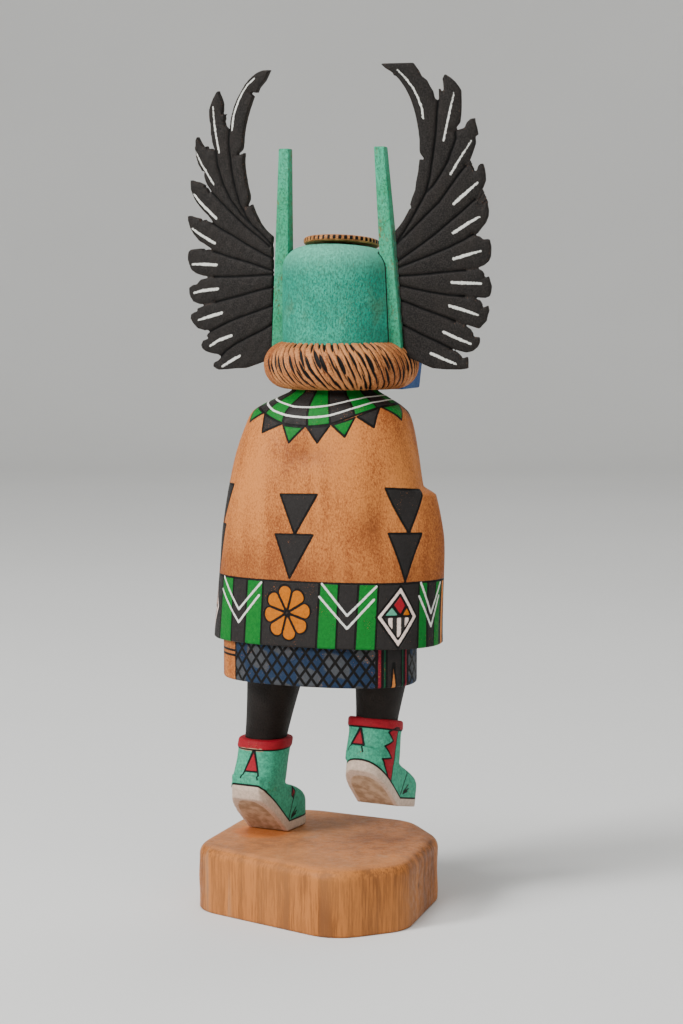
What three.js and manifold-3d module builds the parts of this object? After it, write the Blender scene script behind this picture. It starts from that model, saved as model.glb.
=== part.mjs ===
// A carved and painted kachina doll with black feathered wings, dancing on one foot on a wooden base.
// Millimetres, +Z up. The doll faces -Y and its left side is +X. The origin is on the underside of the
// base, straight below the middle of the mask.
import * as THREE from "three";
import { mergeVertices } from "three/addons/utils/BufferGeometryUtils.js";
import Module from "manifold-3d";

const wasm = await Module();
wasm.setup();

// Sizes of the base
const BASE_HEIGHT = 24;
const BASE_CORNER_RADIUS = 17;
const BASE_EDGE_ROUNDING = 3.6;
const BASE_CORNERS = [[51, -27], [50, 23], [-13, 44.5], [-33.5, 24], [-30.5, -23], [-14, -44], [36, -51]];

// Sizes of the doll
const SEAT_GAP = 0.3; // between two pieces that touch
const FIGURE_HEIGHT = 218; // from the top of the base to the highest edge of the mask
const MASK_HALF_WIDTH = 21;
const MASK_HALF_DEPTH = 22;
const MASK_SHOULDER = 8.2;
const MASK_DOME = 1.1;
const MASK_TOP_TILT = 7; // degrees, the back of the top higher than its front
const RUFF_RADIUS = 27.9; // to the outside
const RUFF_TUBE = 8.5;
const RUFF_MIDDLE = 43.8; // below the top of the mask
const RUFF_CUTS = 28;
const RUFF_CUT_DEPTH = 0.75;
const RUFF_CUT_SLANT = 0.16; // turns of one cut across the ruff, as a share of a quarter turn
const EYE_WIDTH = 6;
const EYE_HEIGHT = 2.2;
const EYE_SPACING = 16.8; // between the middles of the two slots
const EYE_LEVEL = 17; // below the top of the mask
const CHIN_HALF_WIDTH = 20.6;
const CHIN_REACH = 29.2;
const CHIN_HEIGHT = 15.5;
const SOLE_THICKNESS = 3.4;
const BOOT_WIDTH = 17;
const HEEL_REACH = 21.5; // behind the ball of the foot
const TOE_REACH = 18.5; // in front of it
const SHAFT_RADIUS = 9.3;
const SHAFT_BACK = 6.8; // middle of the shaft's foot behind the ball of the foot
const CUFF_RADIUS = 9.6;
const CUFF_HEIGHT = 3.4;
const LEFT_HEEL_RAISE = 42; // degrees, from the ball of the foot
const RIGHT_HEEL_RAISE = 33;
const TOE_OUT = 8; // degrees, both toes towards the doll's right
const RIGHT_FOOT_TILT = 12; // degrees, toe down

// Sizes of the pieces that are fixed to the mask
const CROWN_RADIUS = 13.6;
const CROWN_THICKNESS = 2.3;
const CROWN_SIDES = 32;
const POST_HEIGHT = 68;
const POST_WIDTH_BELOW = 6.4;
const POST_DEPTH_BELOW = 6.6;
const POST_WIDTH_ABOVE = 3.9;
const POST_OUTSIDE_BELOW = 24.7; // outer face of the post from the middle of the mask
const POST_OUTSIDE_ABOVE = 19.8;
const POST_BACK_LEAN = 5; // degrees, shared by posts and wings
const POST_FOOT_BACK = 2.7; // middle of the post's foot behind the middle of the mask
const WING_THICKNESS = 3;
const WING_SWEEP = 6; // degrees forward
const WING_ROOT_HEIGHT = 42;
const WING_RISE = 101.6; // from the foot of the wing to the highest tip
const WING_REACH = 33.4; // from the root to the outermost tips
const WING_BACK = 4.1; // back face of the wing behind the middle of the mask
const WING_OUT = 25.65; // foot of the wing from the middle of the mask
const WING_FOOT = 40.3; // foot of the wing below the top of the mask
const FEATHERS = 10;
const FEATHER_CUT_WIDTH = 0.9;
const FEATHER_CUT_DEPTH = 0.6;

// Levels
const MASK_TOP = BASE_HEIGHT + FIGURE_HEIGHT;
const RUFF_LEVEL = MASK_TOP - RUFF_MIDDLE;
const GROUND = BASE_HEIGHT + SEAT_GAP;
// A share of the figure's own height, measured up from the ground.
const up = (share) => GROUND + share * FIGURE_HEIGHT;

const radians = (degrees) => (degrees * Math.PI) / 180;
const mix = (a, b, t) => a + (b - a) * t;
const bell = (turn, width) => Math.exp(-((Math.atan2(Math.sin(turn), Math.cos(turn)) / width) ** 2));

// Solids and meshes

// A closed body through rings of equal length, counter-clockwise from above and rising.
function loft(rings) {
  const count = rings[0].length;
  const points = rings.flat();
  const faces = [];
  for (let r = 0; r + 1 < rings.length; r++) {
    for (let i = 0; i < count; i++) {
      const a = r * count + i;
      const b = r * count + ((i + 1) % count);
      faces.push(a, b, b + count, a, b + count, a + count);
    }
  }
  const middle = (ring) =>
    ring.reduce((sum, p) => sum.add(p), new THREE.Vector3()).divideScalar(count);
  const below = points.push(middle(rings[0])) - 1;
  const above = points.push(middle(rings[rings.length - 1])) - 1;
  const last = (rings.length - 1) * count;
  for (let i = 0; i < count; i++) {
    const next = (i + 1) % count;
    faces.push(below, next, i, above, last + i, last + next);
  }
  const geometry = new THREE.BufferGeometry().setFromPoints(points);
  geometry.setIndex(faces);
  return geometry;
}

function solid(geometry) {
  geometry.deleteAttribute("normal");
  geometry.deleteAttribute("uv");
  const merged = mergeVertices(geometry, 1e-4);
  return new wasm.Manifold(
    new wasm.Mesh({
      numProp: 3,
      vertProperties: merged.attributes.position.array,
      triVerts: new Uint32Array(merged.index.array),
    }),
  );
}

function joined(geometries) {
  return geometries.map(solid).reduce((whole, piece) => whole.add(piece));
}

function meshOf(name, body, material) {
  const made = body.getMesh();
  const geometry = new THREE.BufferGeometry();
  geometry.setAttribute("position", new THREE.BufferAttribute(made.vertProperties, 3));
  geometry.setIndex(new THREE.BufferAttribute(made.triVerts, 1));
  geometry.computeVertexNormals();
  const mesh = new THREE.Mesh(geometry, material);
  mesh.name = name;
  return mesh;
}

// A level ring: half width, half depth and a squareness of 2 for an ellipse or more for a fuller form.
function ring(centre, halfWidth, halfDepth, count = 42, squareness = 2, shape = () => 1) {
  const points = [];
  for (let i = 0; i < count; i++) {
    const angle = (2 * Math.PI * i) / count;
    const c = Math.cos(angle);
    const s = Math.sin(angle);
    const r = shape(angle) / (Math.abs(c) ** squareness + Math.abs(s) ** squareness) ** (1 / squareness);
    points.push(new THREE.Vector3(centre.x + halfWidth * r * c, centre.y + halfDepth * r * s, centre.z));
  }
  return points;
}

const at = (x, y, z) => new THREE.Vector3(x, y, z);

// Materials

const painted = (color) => new THREE.MeshStandardMaterial({ color, roughness: 0.75, metalness: 0 });
const oiledWood = new THREE.MeshStandardMaterial({ color: 0xb9875f, roughness: 0.55, metalness: 0 });
const naturalWood = new THREE.MeshStandardMaterial({ color: 0xc08a5e, roughness: 0.6, metalness: 0 });
const turquoisePaint = painted(0x50b496);
const blackPaint = painted(0x2d2a28);

// Base

// The outline's corners, turned into arcs.
function roundedOutline(corners, radius, steps) {
  const outline = [];
  corners.forEach((corner, i) => {
    const before = corners[(i + corners.length - 1) % corners.length];
    const after = corners[(i + 1) % corners.length];
    const toBefore = before.clone().sub(corner).normalize();
    const toAfter = after.clone().sub(corner).normalize();
    const half = toBefore.angleTo(toAfter) / 2;
    const start = corner.clone().addScaledVector(toBefore, radius / Math.tan(half));
    const end = corner.clone().addScaledVector(toAfter, radius / Math.tan(half));
    for (let k = 0; k <= steps; k++) {
      const t = k / steps;
      const a = start.clone().lerp(corner, t);
      outline.push(a.lerp(corner.clone().lerp(end, t), t));
    }
  });
  return outline;
}

function baseBlock() {
  const corners = BASE_CORNERS.map(([x, y]) => at(x, y, 0));
  const outline = roundedOutline(corners, BASE_CORNER_RADIUS, 5);
  const centre = at(9, -3, 0);
  const halfWidth = 42;
  const level = (z, inset) =>
    outline.map((p) => {
      const share = 1 - inset / halfWidth;
      return at(mix(centre.x, p.x, share), mix(centre.y, p.y, share), z);
    });
  const levels = [level(0, 0.5), level(0.5, 0)];
  for (let k = 0; k <= 4; k++) {
    const turn = (Math.PI / 2) * (k / 4);
    const rise = BASE_EDGE_ROUNDING * Math.sin(turn);
    levels.push(level(BASE_HEIGHT - BASE_EDGE_ROUNDING + rise, BASE_EDGE_ROUNDING * (1 - Math.cos(turn))));
  }
  return solid(loft(levels));
}

// Mask, ruff and chin

function maskBody() {
  const slope = Math.tan(radians(MASK_TOP_TILT));
  const levels = [ring(at(0, 0, RUFF_LEVEL - 3), MASK_HALF_WIDTH, MASK_HALF_DEPTH)];
  const steps = 6;
  for (let k = 0; k <= steps; k++) {
    const turn = (Math.PI / 2) * (k / steps);
    const inset = MASK_SHOULDER * (1 - Math.cos(turn));
    const z = MASK_TOP - MASK_DOME - MASK_SHOULDER * (1 - Math.sin(turn));
    levels.push(ring(at(0, 0, z), MASK_HALF_WIDTH - inset, MASK_HALF_DEPTH - inset));
  }
  levels.push(ring(at(0, 0, MASK_TOP), CROWN_RADIUS * 0.4, CROWN_RADIUS * 0.4));
  for (const level of levels.slice(1)) for (const p of level) p.z += (p.y - CROWN_RADIUS) * slope;
  return loft(levels);
}

// The rolled ruff. Its slanted cuts run across the roll, and a smooth one gives the room beside it.
function ruff(grow, cutDepth) {
  const around = RUFF_CUTS * 3;
  const across = 8;
  const tube = RUFF_TUBE + grow;
  const middle = RUFF_RADIUS - RUFF_TUBE;
  const points = [];
  const faces = [];
  for (let i = 0; i < around; i++) {
    for (let k = 0; k < across; k++) {
      const roll = (2 * Math.PI * k) / across;
      const deep = i % 3 === 1 ? cutDepth * Math.max(0, 0.35 + Math.cos(roll)) : 0;
      const turn = (2 * Math.PI * i) / around + RUFF_CUT_SLANT * Math.sin(roll);
      const r = middle + (tube - deep) * Math.cos(roll);
      points.push(at(r * Math.cos(turn), r * Math.sin(turn), RUFF_LEVEL + (tube - deep) * Math.sin(roll)));
      const a = i * across + k;
      const b = i * across + ((k + 1) % across);
      const c = ((i + 1) % around) * across + k;
      const d = ((i + 1) % around) * across + ((k + 1) % across);
      faces.push(a, c, d, a, d, b);
    }
  }
  const geometry = new THREE.BufferGeometry().setFromPoints(points);
  geometry.setIndex(faces);
  return geometry;
}

function chinBlock() {
  const bottom = RUFF_LEVEL - RUFF_TUBE - 0.4;
  const level = (z, halfWidth, reach) => [
    at(halfWidth, -reach + 3, z),
    at(halfWidth, -8, z),
    at(-halfWidth, -8, z),
    at(-halfWidth, -reach + 3, z),
    at(-halfWidth + 3, -reach, z),
    at(halfWidth - 3, -reach, z),
  ];
  const spread = CHIN_HEIGHT / 12;
  return loft([
    level(bottom, CHIN_HALF_WIDTH, CHIN_REACH),
    level(bottom + CHIN_HEIGHT, CHIN_HALF_WIDTH + spread, CHIN_REACH + spread),
  ]);
}

// Body in its cape

// Levels of the cape: share of the height, half width, half depth, and the middle's place in x and y.
const CAPE_LEVELS = [
  [0.345, 42.2, 23, 3.4, 6],
  [0.353, 42.1, 23, 3.4, 6],
  [0.445, 40.2, 22.8, 3.3, 6.2],
  [0.51, 38.8, 22.6, 3.2, 6.5],
  [0.56, 37.2, 22.4, 3.2, 6.8],
  [0.587, 36.1, 22.1, 3.3, 6.9],
  [0.603, 35.4, 21.9, 3.4, 6.9],
  [0.65, 33.6, 21.4, 3.2, 6.4],
  [0.7, 30.8, 20.2, 2.7, 5.2],
  [0.72, 28.9, 19.2, 2.5, 4.8],
  [0.733, 25.2, 17.9, 2.2, 4.2],
  [0.745, 20, 16, 1.8, 3.6],
  [0.758, 15.2, 13.8, 1.5, 3],
  [0.79, 14.4, 13, 1.4, 2.6],
];
const FOREARM_TOP = 0.598;
const FOREARM_SWELL = 0.11;
const ELBOW_HOLLOW = 0.035;
const CAPE_SQUARENESS = 2.35;

// How far the cape stands out over the forearms, and how it sinks behind them.
function drape(share) {
  const held = THREE.MathUtils.smoothstep(FOREARM_TOP - share, -0.005, 0.011);
  const lower = THREE.MathUtils.smoothstep(share, 0.33, 0.54);
  return (angle) => {
    const right = bell(angle - 1.06 * Math.PI, 0.42);
    const left = bell(angle - 1.88 * Math.PI, 0.36);
    const hollow = bell(angle - 0.86 * Math.PI, 0.2);
    const swell = FOREARM_SWELL * held * (0.1 + 0.9 * lower);
    return 1 + swell * (right + 0.9 * left) - ELBOW_HOLLOW * lower * held * hollow;
  };
}

function cape() {
  const shares = CAPE_LEVELS.flatMap((level, i) => {
    const next = CAPE_LEVELS[i + 1];
    return next && next[0] - level[0] > 0.03 ? [level[0], (level[0] + next[0]) / 2] : [level[0]];
  });
  const levels = shares.map((share) => {
    const i = Math.max(0, CAPE_LEVELS.findLastIndex((level) => level[0] <= share));
    const a = CAPE_LEVELS[i];
    const b = CAPE_LEVELS[Math.min(i + 1, CAPE_LEVELS.length - 1)];
    const t = a === b ? 0 : (share - a[0]) / (b[0] - a[0]);
    const value = a.map((from, k) => mix(from, b[k], t));
    const centre = at(value[3], value[4], up(share));
    return ring(centre, value[1], value[2], 42, CAPE_SQUARENESS, drape(share));
  });
  return loft(levels);
}

function capeOpening() {
  const front = new THREE.BoxGeometry(1.4, 6, up(0.72) - up(0.3));
  return front.translate(2.6, -20.4, (up(0.72) + up(0.3)) / 2);
}

function skirt() {
  const centre = (share) => at(6, 6.6, up(share));
  return loft([
    ring(centre(0.279), 35.6, 19.8, 42, 2.3),
    ring(centre(0.285), 36, 20, 42, 2.3),
    ring(centre(0.37), 36.4, 20.4, 42, 2.3),
  ]);
}

// Legs and boots

function leg(top, foot, topRadius, footRadius) {
  const levels = [];
  for (let k = 0; k <= 3; k++) {
    const t = k / 3;
    const centre = foot.clone().lerp(top, t);
    const radius = mix(footRadius, topRadius, t ** 1.3);
    levels.push(ring(centre, radius, radius * 1.04, 16));
  }
  return loft(levels);
}

// A boot on the ball of its foot, in its own frame: the ball at the origin, the toe towards -Y.
// The side view is pushed out to the boot's width, and the plan rounds the heel and the toe.
function footSide(raise) {
  const rise = radians(raise);
  const heel = new THREE.Vector2(HEEL_REACH * Math.cos(rise), HEEL_REACH * Math.sin(rise));
  const side = new THREE.Shape();
  side.moveTo(0, 0);
  side.lineTo(heel.x, heel.y);
  side.lineTo(heel.x + 0.6, heel.y + SOLE_THICKNESS);
  side.lineTo(heel.x - 1, heel.y + 8);
  side.lineTo(-2.2, 18.6);
  side.lineTo(-4.2, 15.6);
  side.quadraticCurveTo(-TOE_REACH + 2.5, 13, -TOE_REACH, SOLE_THICKNESS + 1.6);
  side.lineTo(-TOE_REACH + 0.3, 0);
  side.lineTo(0, 0);
  return { side, heel };
}

function footPlan(half) {
  const plan = new THREE.Shape();
  plan.moveTo(-half, 5);
  plan.lineTo(-half, -11);
  plan.quadraticCurveTo(-half + 0.2, -TOE_REACH - 0.5, 0, -TOE_REACH - 0.5);
  plan.quadraticCurveTo(half - 0.2, -TOE_REACH - 0.5, half, -11);
  plan.lineTo(half, 5);
  plan.quadraticCurveTo(half - 0.4, HEEL_REACH - 3, 0, HEEL_REACH - 3);
  plan.quadraticCurveTo(-half + 0.4, HEEL_REACH - 3, -half, 5);
  const column = new THREE.ExtrudeGeometry(plan, {
    depth: 2 * HEEL_REACH,
    bevelEnabled: false,
    curveSegments: 6,
  });
  return column.translate(0, 0, -1);
}

function bootBody(place, tilt, raise, shaftHeight, shaftLean) {
  const { side, heel } = footSide(raise);
  const bevel = 2.4;
  const push = new THREE.ExtrudeGeometry(side, {
    depth: BOOT_WIDTH - 2 * bevel,
    bevelThickness: bevel,
    bevelSize: 1.2,
    bevelOffset: -1.2,
    bevelSegments: 1,
    curveSegments: 5,
  });
  push.translate(0, 0, bevel - BOOT_WIDTH / 2).rotateX(Math.PI / 2).rotateZ(Math.PI / 2);
  const foot = solid(push).intersect(solid(footPlan(BOOT_WIDTH / 2)));
  const bottom = heel.y + SOLE_THICKNESS;
  const centre = (z) => {
    const t = (z - bottom) / (shaftHeight - bottom);
    return at(shaftLean.x * t, SHAFT_BACK + shaftLean.y * t, z);
  };
  const cuffBottom = shaftHeight - CUFF_HEIGHT;
  const shaft = loft([
    ring(centre(bottom), SHAFT_RADIUS - 1.2, 8, 20, 2.4),
    ring(centre(bottom + 4), SHAFT_RADIUS, 8.8, 20, 2.5),
    ring(centre(cuffBottom), SHAFT_RADIUS, 8.8, 20, 2.5),
  ]);
  const cuff = loft([
    ring(centre(cuffBottom - 0.4), CUFF_RADIUS - 0.5, 9.1, 20, 2.4),
    ring(centre(cuffBottom), CUFF_RADIUS, 9.5, 20, 2.4),
    ring(centre(shaftHeight - 0.8), CUFF_RADIUS, 9.5, 20, 2.4),
    ring(centre(shaftHeight), CUFF_RADIUS - 1, 8.6, 20, 2.4),
  ]);
  const whole = foot.add(solid(shaft)).add(solid(cuff));
  return whole.rotate([tilt, 0, 0]).rotate([0, 0, -TOE_OUT]).translate(place);
}

const LEFT_BALL = [32.4, -8.4, GROUND];
const RIGHT_BALL = [-12.2, -5, GROUND + 13.6];
const LEFT_SHAFT_LEAN = { x: -1.4, y: -3.4 };
const RIGHT_SHAFT_LEAN = { x: 0.6, y: 0 };
const LEFT_SHAFT_HEIGHT = 36; // above the ball of the foot
const RIGHT_SHAFT_HEIGHT = 31;
const LEFT_LEG_SEAT = 1.1; // how far the leg stands in the boot
const RIGHT_LEG_SEAT = 3.2;

function legs() {
  const leftTop = at(23.4, 3, up(0.31));
  const leftFoot = at(...LEFT_BALL).add(at(-0.6, 3.2, LEFT_SHAFT_HEIGHT - LEFT_LEG_SEAT));
  const rightTop = at(-16.5, 1.5, up(0.31));
  const rightFoot = at(...RIGHT_BALL).add(at(0.6, 0, RIGHT_SHAFT_HEIGHT - RIGHT_LEG_SEAT));
  return joined([leg(leftTop, leftFoot, 11.2, 7.6), leg(rightTop, rightFoot, 10.2, 7.3)]);
}

// The posts stand in flats cut in the sides of the mask.
function post(side, grow = 0) {
  const lean = Math.tan(radians(POST_BACK_LEAN));
  const bottom = RUFF_LEVEL + RUFF_TUBE / 2;
  const height = POST_HEIGHT + RUFF_TUBE / 2;
  const level = (t) => {
    const shareAbovePost = Math.max(0, (t * height - RUFF_TUBE / 2) / POST_HEIGHT);
    const width = mix(POST_WIDTH_BELOW, POST_WIDTH_ABOVE, shareAbovePost) + 2 * grow;
    const depth = mix(POST_DEPTH_BELOW, POST_WIDTH_ABOVE, shareAbovePost) + 2 * grow;
    const outside = mix(POST_OUTSIDE_BELOW, POST_OUTSIDE_ABOVE, shareAbovePost) + grow;
    const y = POST_FOOT_BACK + lean * t * height;
    const z = bottom + t * height;
    const x = side * (outside - width / 2);
    const points = [];
    const chamfer = 0.5;
    for (const [sx, sy, first] of [[1, -1, 0], [1, 1, 1], [-1, 1, 0], [-1, -1, 1]]) {
      const hx = (sx * width) / 2;
      const hy = (sy * depth) / 2;
      const one = at(x + hx - sx * chamfer, y + hy, z);
      const two = at(x + hx, y + hy - sy * chamfer, z);
      points.push(...(first ? [two, one] : [one, two]));
    }
    return points;
  };
  const levels = [level(0)];
  for (let k = 1; k <= 3; k++) levels.push(level(k / 3));
  return solid(loft(levels));
}

// The crown is a thin notched disc of wood. It lies on the tilted top of the mask.
function crown() {
  const profile = [
    [0, 0],
    [CROWN_RADIUS - 0.4, 0],
    [CROWN_RADIUS, 0.6],
    [CROWN_RADIUS - 0.1, CROWN_THICKNESS - 0.5],
    [CROWN_RADIUS - 0.7, CROWN_THICKNESS],
    [0, CROWN_THICKNESS],
  ].map(([r, z]) => new THREE.Vector2(r, z));
  const disc = new THREE.LatheGeometry(profile, CROWN_SIDES).rotateX(Math.PI / 2);
  disc.rotateX(radians(MASK_TOP_TILT));
  return disc.translate(0, 0, MASK_TOP + SEAT_GAP - CROWN_RADIUS * Math.tan(radians(MASK_TOP_TILT)));
}

// Wings

// A point of the wing's own plane: u outwards from the root, v upwards, w in front of the back face.
function wingPlace(side, u, v, w) {
  const sweep = radians(WING_SWEEP);
  const lean = radians(POST_BACK_LEAN);
  const origin = at(side * WING_OUT, WING_BACK, MASK_TOP - WING_FOOT);
  const outward = at(side * Math.cos(sweep), -Math.sin(sweep), 0);
  const upward = at(0, Math.sin(lean), Math.cos(lean));
  const forward = at(-side * Math.sin(sweep), -Math.cos(sweep), Math.sin(lean));
  return origin.addScaledVector(outward, u).addScaledVector(upward, v).addScaledVector(forward, w);
}

// The tip of each feather, highest first, as shares of the wing's reach and rise.
const FEATHER_TIPS = [
  [0.138, 1], [0.55, 0.945], [0.81, 0.792], [0.965, 0.633], [0.995, 0.507], [1.01, 0.389], [1, 0.259],
  [0.975, 0.16], [0.865, 0.049], [0.7, -0.02],
].map(([u, v]) => at(u * WING_REACH, v * WING_RISE, 0));
const NOTCH_DEPTH = 5.6; // between two feathers
const NOTCH_DEPTH_ABOVE = 13; // between the two highest
const INNER_BULGE = 11.6; // of the highest feather's inner edge

// Where the grooves between the feathers start on the root, as shares of its height, lowest first.
const rootShare = (k) => 0.1 + 0.86 * (1 - (1 - k / (FEATHERS - 1)) ** 1.2);

function rootPoint(v) {
  const shareUp = Math.min(1, Math.max(0, v / WING_ROOT_HEIGHT));
  return at(mix(-0.6, -2.9, shareUp), v, 0);
}

// The seam below feather k: where it leaves the root, the bottom of its notch, and the feather's way out.
function seam(k) {
  const step = FEATHER_TIPS[k + 1].clone().sub(FEATHER_TIPS[k]);
  const root = rootPoint(WING_ROOT_HEIGHT * rootShare(FEATHERS - 1 - k));
  const mouth = FEATHER_TIPS[k].clone().addScaledVector(step, 0.74);
  const way = mouth.clone().sub(root).normalize();
  if (k === 0) way.set(0, 1, 0);
  const depth = mix(NOTCH_DEPTH, NOTCH_DEPTH_ABOVE, Math.exp(-k * 0.8));
  return { root, way, step, mouth, notch: mouth.clone().addScaledVector(way, -depth) };
}

function wingOutline() {
  const outline = [];
  const steps = 7;
  const top = at(-5.5, WING_RISE - 0.2, 0);
  const rootTop = rootPoint(WING_ROOT_HEIGHT);
  for (let k = 1; k < steps; k++) {
    const t = k / steps;
    const bulge = 4 * t * (1 - t) * INNER_BULGE;
    outline.push(at(mix(rootTop.x, top.x, t) + bulge, mix(rootTop.y, top.y, t), 0));
  }
  outline.push(top, FEATHER_TIPS[0]);
  for (let k = 0; k + 1 < FEATHERS; k++) {
    const { way, step, mouth, notch } = seam(k);
    const along = (share, back) => {
      const p = FEATHER_TIPS[k].clone().addScaledVector(step, share);
      return p.addScaledVector(way, -back);
    };
    const slack = notch.distanceTo(mouth) / NOTCH_DEPTH;
    outline.push(along(0.42, 0.6 * slack ** 2), along(0.64, 3 * slack), notch);
    outline.push(along(0.9, 2), FEATHER_TIPS[k + 1]);
  }
  const low = FEATHER_TIPS[FEATHERS - 1];
  outline.push(low.clone().add(at(-1.6, -2.6, 0)), low.clone().add(at(-12, -2.9, 0)), at(4, -2.2, 0));
  outline.push(rootPoint(1), rootTop);
  return outline;
}

function wing(side) {
  const outline = wingOutline();
  const shape = new THREE.Shape(outline.map((p) => new THREE.Vector2(p.x, p.y)));
  const board = new THREE.ExtrudeGeometry(shape, { depth: WING_THICKNESS, bevelEnabled: false });
  let body = solid(placed(board, side));
  for (let k = 0; k + 1 < FEATHERS; k++) {
    for (const face of [0, WING_THICKNESS]) body = body.subtract(solid(placed(featherCut(k, face), side)));
  }
  return body.subtract(solid(ruff(SEAT_GAP, 0))).subtract(post(side, SEAT_GAP));
}

// A V cut along the seam of two feathers, on the back face or the front face of the wing.
function featherCut(k, face) {
  const { root, notch, mouth } = seam(k);
  const bend = root.clone().lerp(notch, 0.45);
  bend.x -= 2.6 * (1 - k / FEATHERS) ** 2;
  const start = root.clone().add(at(1.2, 0, 0));
  const path = new THREE.QuadraticBezierCurve3(start, bend, notch.clone().lerp(mouth, 0.3));
  const levels = [];
  for (let i = 0; i <= 2; i++) {
    const p = path.getPoint(i / 2);
    const along = path.getTangent(i / 2);
    const across = at(-along.y, along.x, 0).multiplyScalar(FEATHER_CUT_WIDTH);
    const inward = face === 0 ? FEATHER_CUT_DEPTH : -FEATHER_CUT_DEPTH;
    const outside = at(0, 0, face - inward);
    const corners = [p.clone().add(across).add(outside), p.clone().sub(across).add(outside)];
    corners.push(p.clone().add(at(0, 0, face + inward)));
    levels.push(face === 0 ? corners.reverse() : corners);
  }
  return loft(levels);
}

// Moves a shape from the wing's own plane to its place, and keeps its faces outwards on both sides.
function placed(geometry, side) {
  const flat = geometry.index ? geometry.toNonIndexed() : geometry;
  const position = flat.getAttribute("position");
  for (let i = 0; i < position.count; i++) {
    const p = wingPlace(side, position.getX(i), position.getY(i), position.getZ(i));
    position.setXYZ(i, p.x, p.y, p.z);
  }
  const flipped = side < 0;
  if (flipped) {
    for (let i = 0; i < position.count; i += 3) {
      const a = at(position.getX(i + 1), position.getY(i + 1), position.getZ(i + 1));
      const b = at(position.getX(i + 2), position.getY(i + 2), position.getZ(i + 2));
      position.setXYZ(i + 1, b.x, b.y, b.z);
      position.setXYZ(i + 2, a.x, a.y, a.z);
    }
  }
  return flat;
}

// Eyes: two small slots in the front of the mask.
function eyeSlots() {
  return [-1, 1].map((side) => {
    const slot = new THREE.BoxGeometry(EYE_WIDTH, EYE_WIDTH / 2, EYE_HEIGHT);
    return slot
      .rotateZ(side * 0.36)
      .translate((side * EYE_SPACING) / 2, -MASK_HALF_DEPTH * 0.93, MASK_TOP - EYE_LEVEL);
  });
}

function figure() {
  let body = joined([cape(), skirt(), ruff(0, RUFF_CUT_DEPTH), maskBody(), chinBlock()]);
  body = body.add(legs());
  body = body.add(bootBody(LEFT_BALL, 0, LEFT_HEEL_RAISE, LEFT_SHAFT_HEIGHT, LEFT_SHAFT_LEAN));
  body = body.add(
    bootBody(RIGHT_BALL, RIGHT_FOOT_TILT, RIGHT_HEEL_RAISE, RIGHT_SHAFT_HEIGHT, RIGHT_SHAFT_LEAN),
  );
  body = body.subtract(solid(capeOpening()));
  for (const slot of eyeSlots()) body = body.subtract(solid(slot));
  for (const side of [-1, 1]) body = body.subtract(post(side, SEAT_GAP));
  return body;
}

const doll = new THREE.Group();
doll.add(meshOf("base", baseBlock(), naturalWood));
doll.add(meshOf("figure", figure(), oiledWood));
doll.add(meshOf("crown", solid(crown()), naturalWood));
for (const [name, side] of [["left", 1], ["right", -1]]) {
  doll.add(meshOf("post_" + name, post(side), turquoisePaint));
  doll.add(meshOf("wing_" + name, wing(side), blackPaint));
}

export default doll;
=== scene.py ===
"""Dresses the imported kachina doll: finely carved and painted pieces, a studio stage and a camera."""

import math

import bpy
import numpy as np
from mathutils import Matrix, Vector


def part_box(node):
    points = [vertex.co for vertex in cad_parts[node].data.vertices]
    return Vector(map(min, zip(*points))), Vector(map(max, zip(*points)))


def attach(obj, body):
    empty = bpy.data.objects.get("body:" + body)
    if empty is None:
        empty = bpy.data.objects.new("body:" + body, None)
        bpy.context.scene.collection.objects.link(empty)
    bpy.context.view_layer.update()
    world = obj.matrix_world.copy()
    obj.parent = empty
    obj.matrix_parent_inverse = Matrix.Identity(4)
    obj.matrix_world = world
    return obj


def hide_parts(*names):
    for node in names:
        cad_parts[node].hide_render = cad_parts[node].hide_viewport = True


bl_info = {
    "name": "Kachina Doll",
    "version": (1, 0, 0),
    "blender": (4, 5, 0),
    "location": "View3D > Sidebar > Kachina Doll",
    "description": "Builds a carved and painted kachina doll with black wings on a wooden base",
    "category": "Object",
}

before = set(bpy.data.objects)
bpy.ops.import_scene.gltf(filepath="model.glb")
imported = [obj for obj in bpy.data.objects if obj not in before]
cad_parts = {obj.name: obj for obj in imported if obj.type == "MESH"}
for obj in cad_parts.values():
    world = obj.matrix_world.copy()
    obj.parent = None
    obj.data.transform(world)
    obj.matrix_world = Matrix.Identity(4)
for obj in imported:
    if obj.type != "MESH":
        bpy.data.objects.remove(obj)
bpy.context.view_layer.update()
BASE_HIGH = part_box("base")[1]

PANEL = "Kachina Doll"
MM = 0.001
BACK = math.pi / 2
TURN = 2 * math.pi
# Clearance under the figure and way down from the mask's top to the middle of the ruff, in millimetres
SEAT_GAP = 0.3
RUFF_DROP = 43.8
# The crown slopes forwards with the mask's top, and the posts and wings lean backwards
CROWN_TILT = math.radians(7)
POST_LEAN = math.radians(5)


def paint(red, green, blue):
    """A colour as a painter reads it off a chart, 0 to 255, turned into linear light."""
    shares = [c / 255 for c in (red, green, blue)]
    return tuple(c / 12.92 if c < 0.0405 else ((c + 0.055) / 1.055) ** 2.4 for c in shares)


def darker(colour, share):
    return tuple(c * share for c in colour)


def length(name, description, millimetres):
    return bpy.props.FloatProperty(
        name=name, description=description, default=millimetres * MM, unit="LENGTH", precision=4
    )


def colour(name, description, *chart):
    return bpy.props.FloatVectorProperty(
        name=name, description=description, default=paint(*chart), subtype="COLOR", size=3, min=0, max=1
    )


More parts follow.
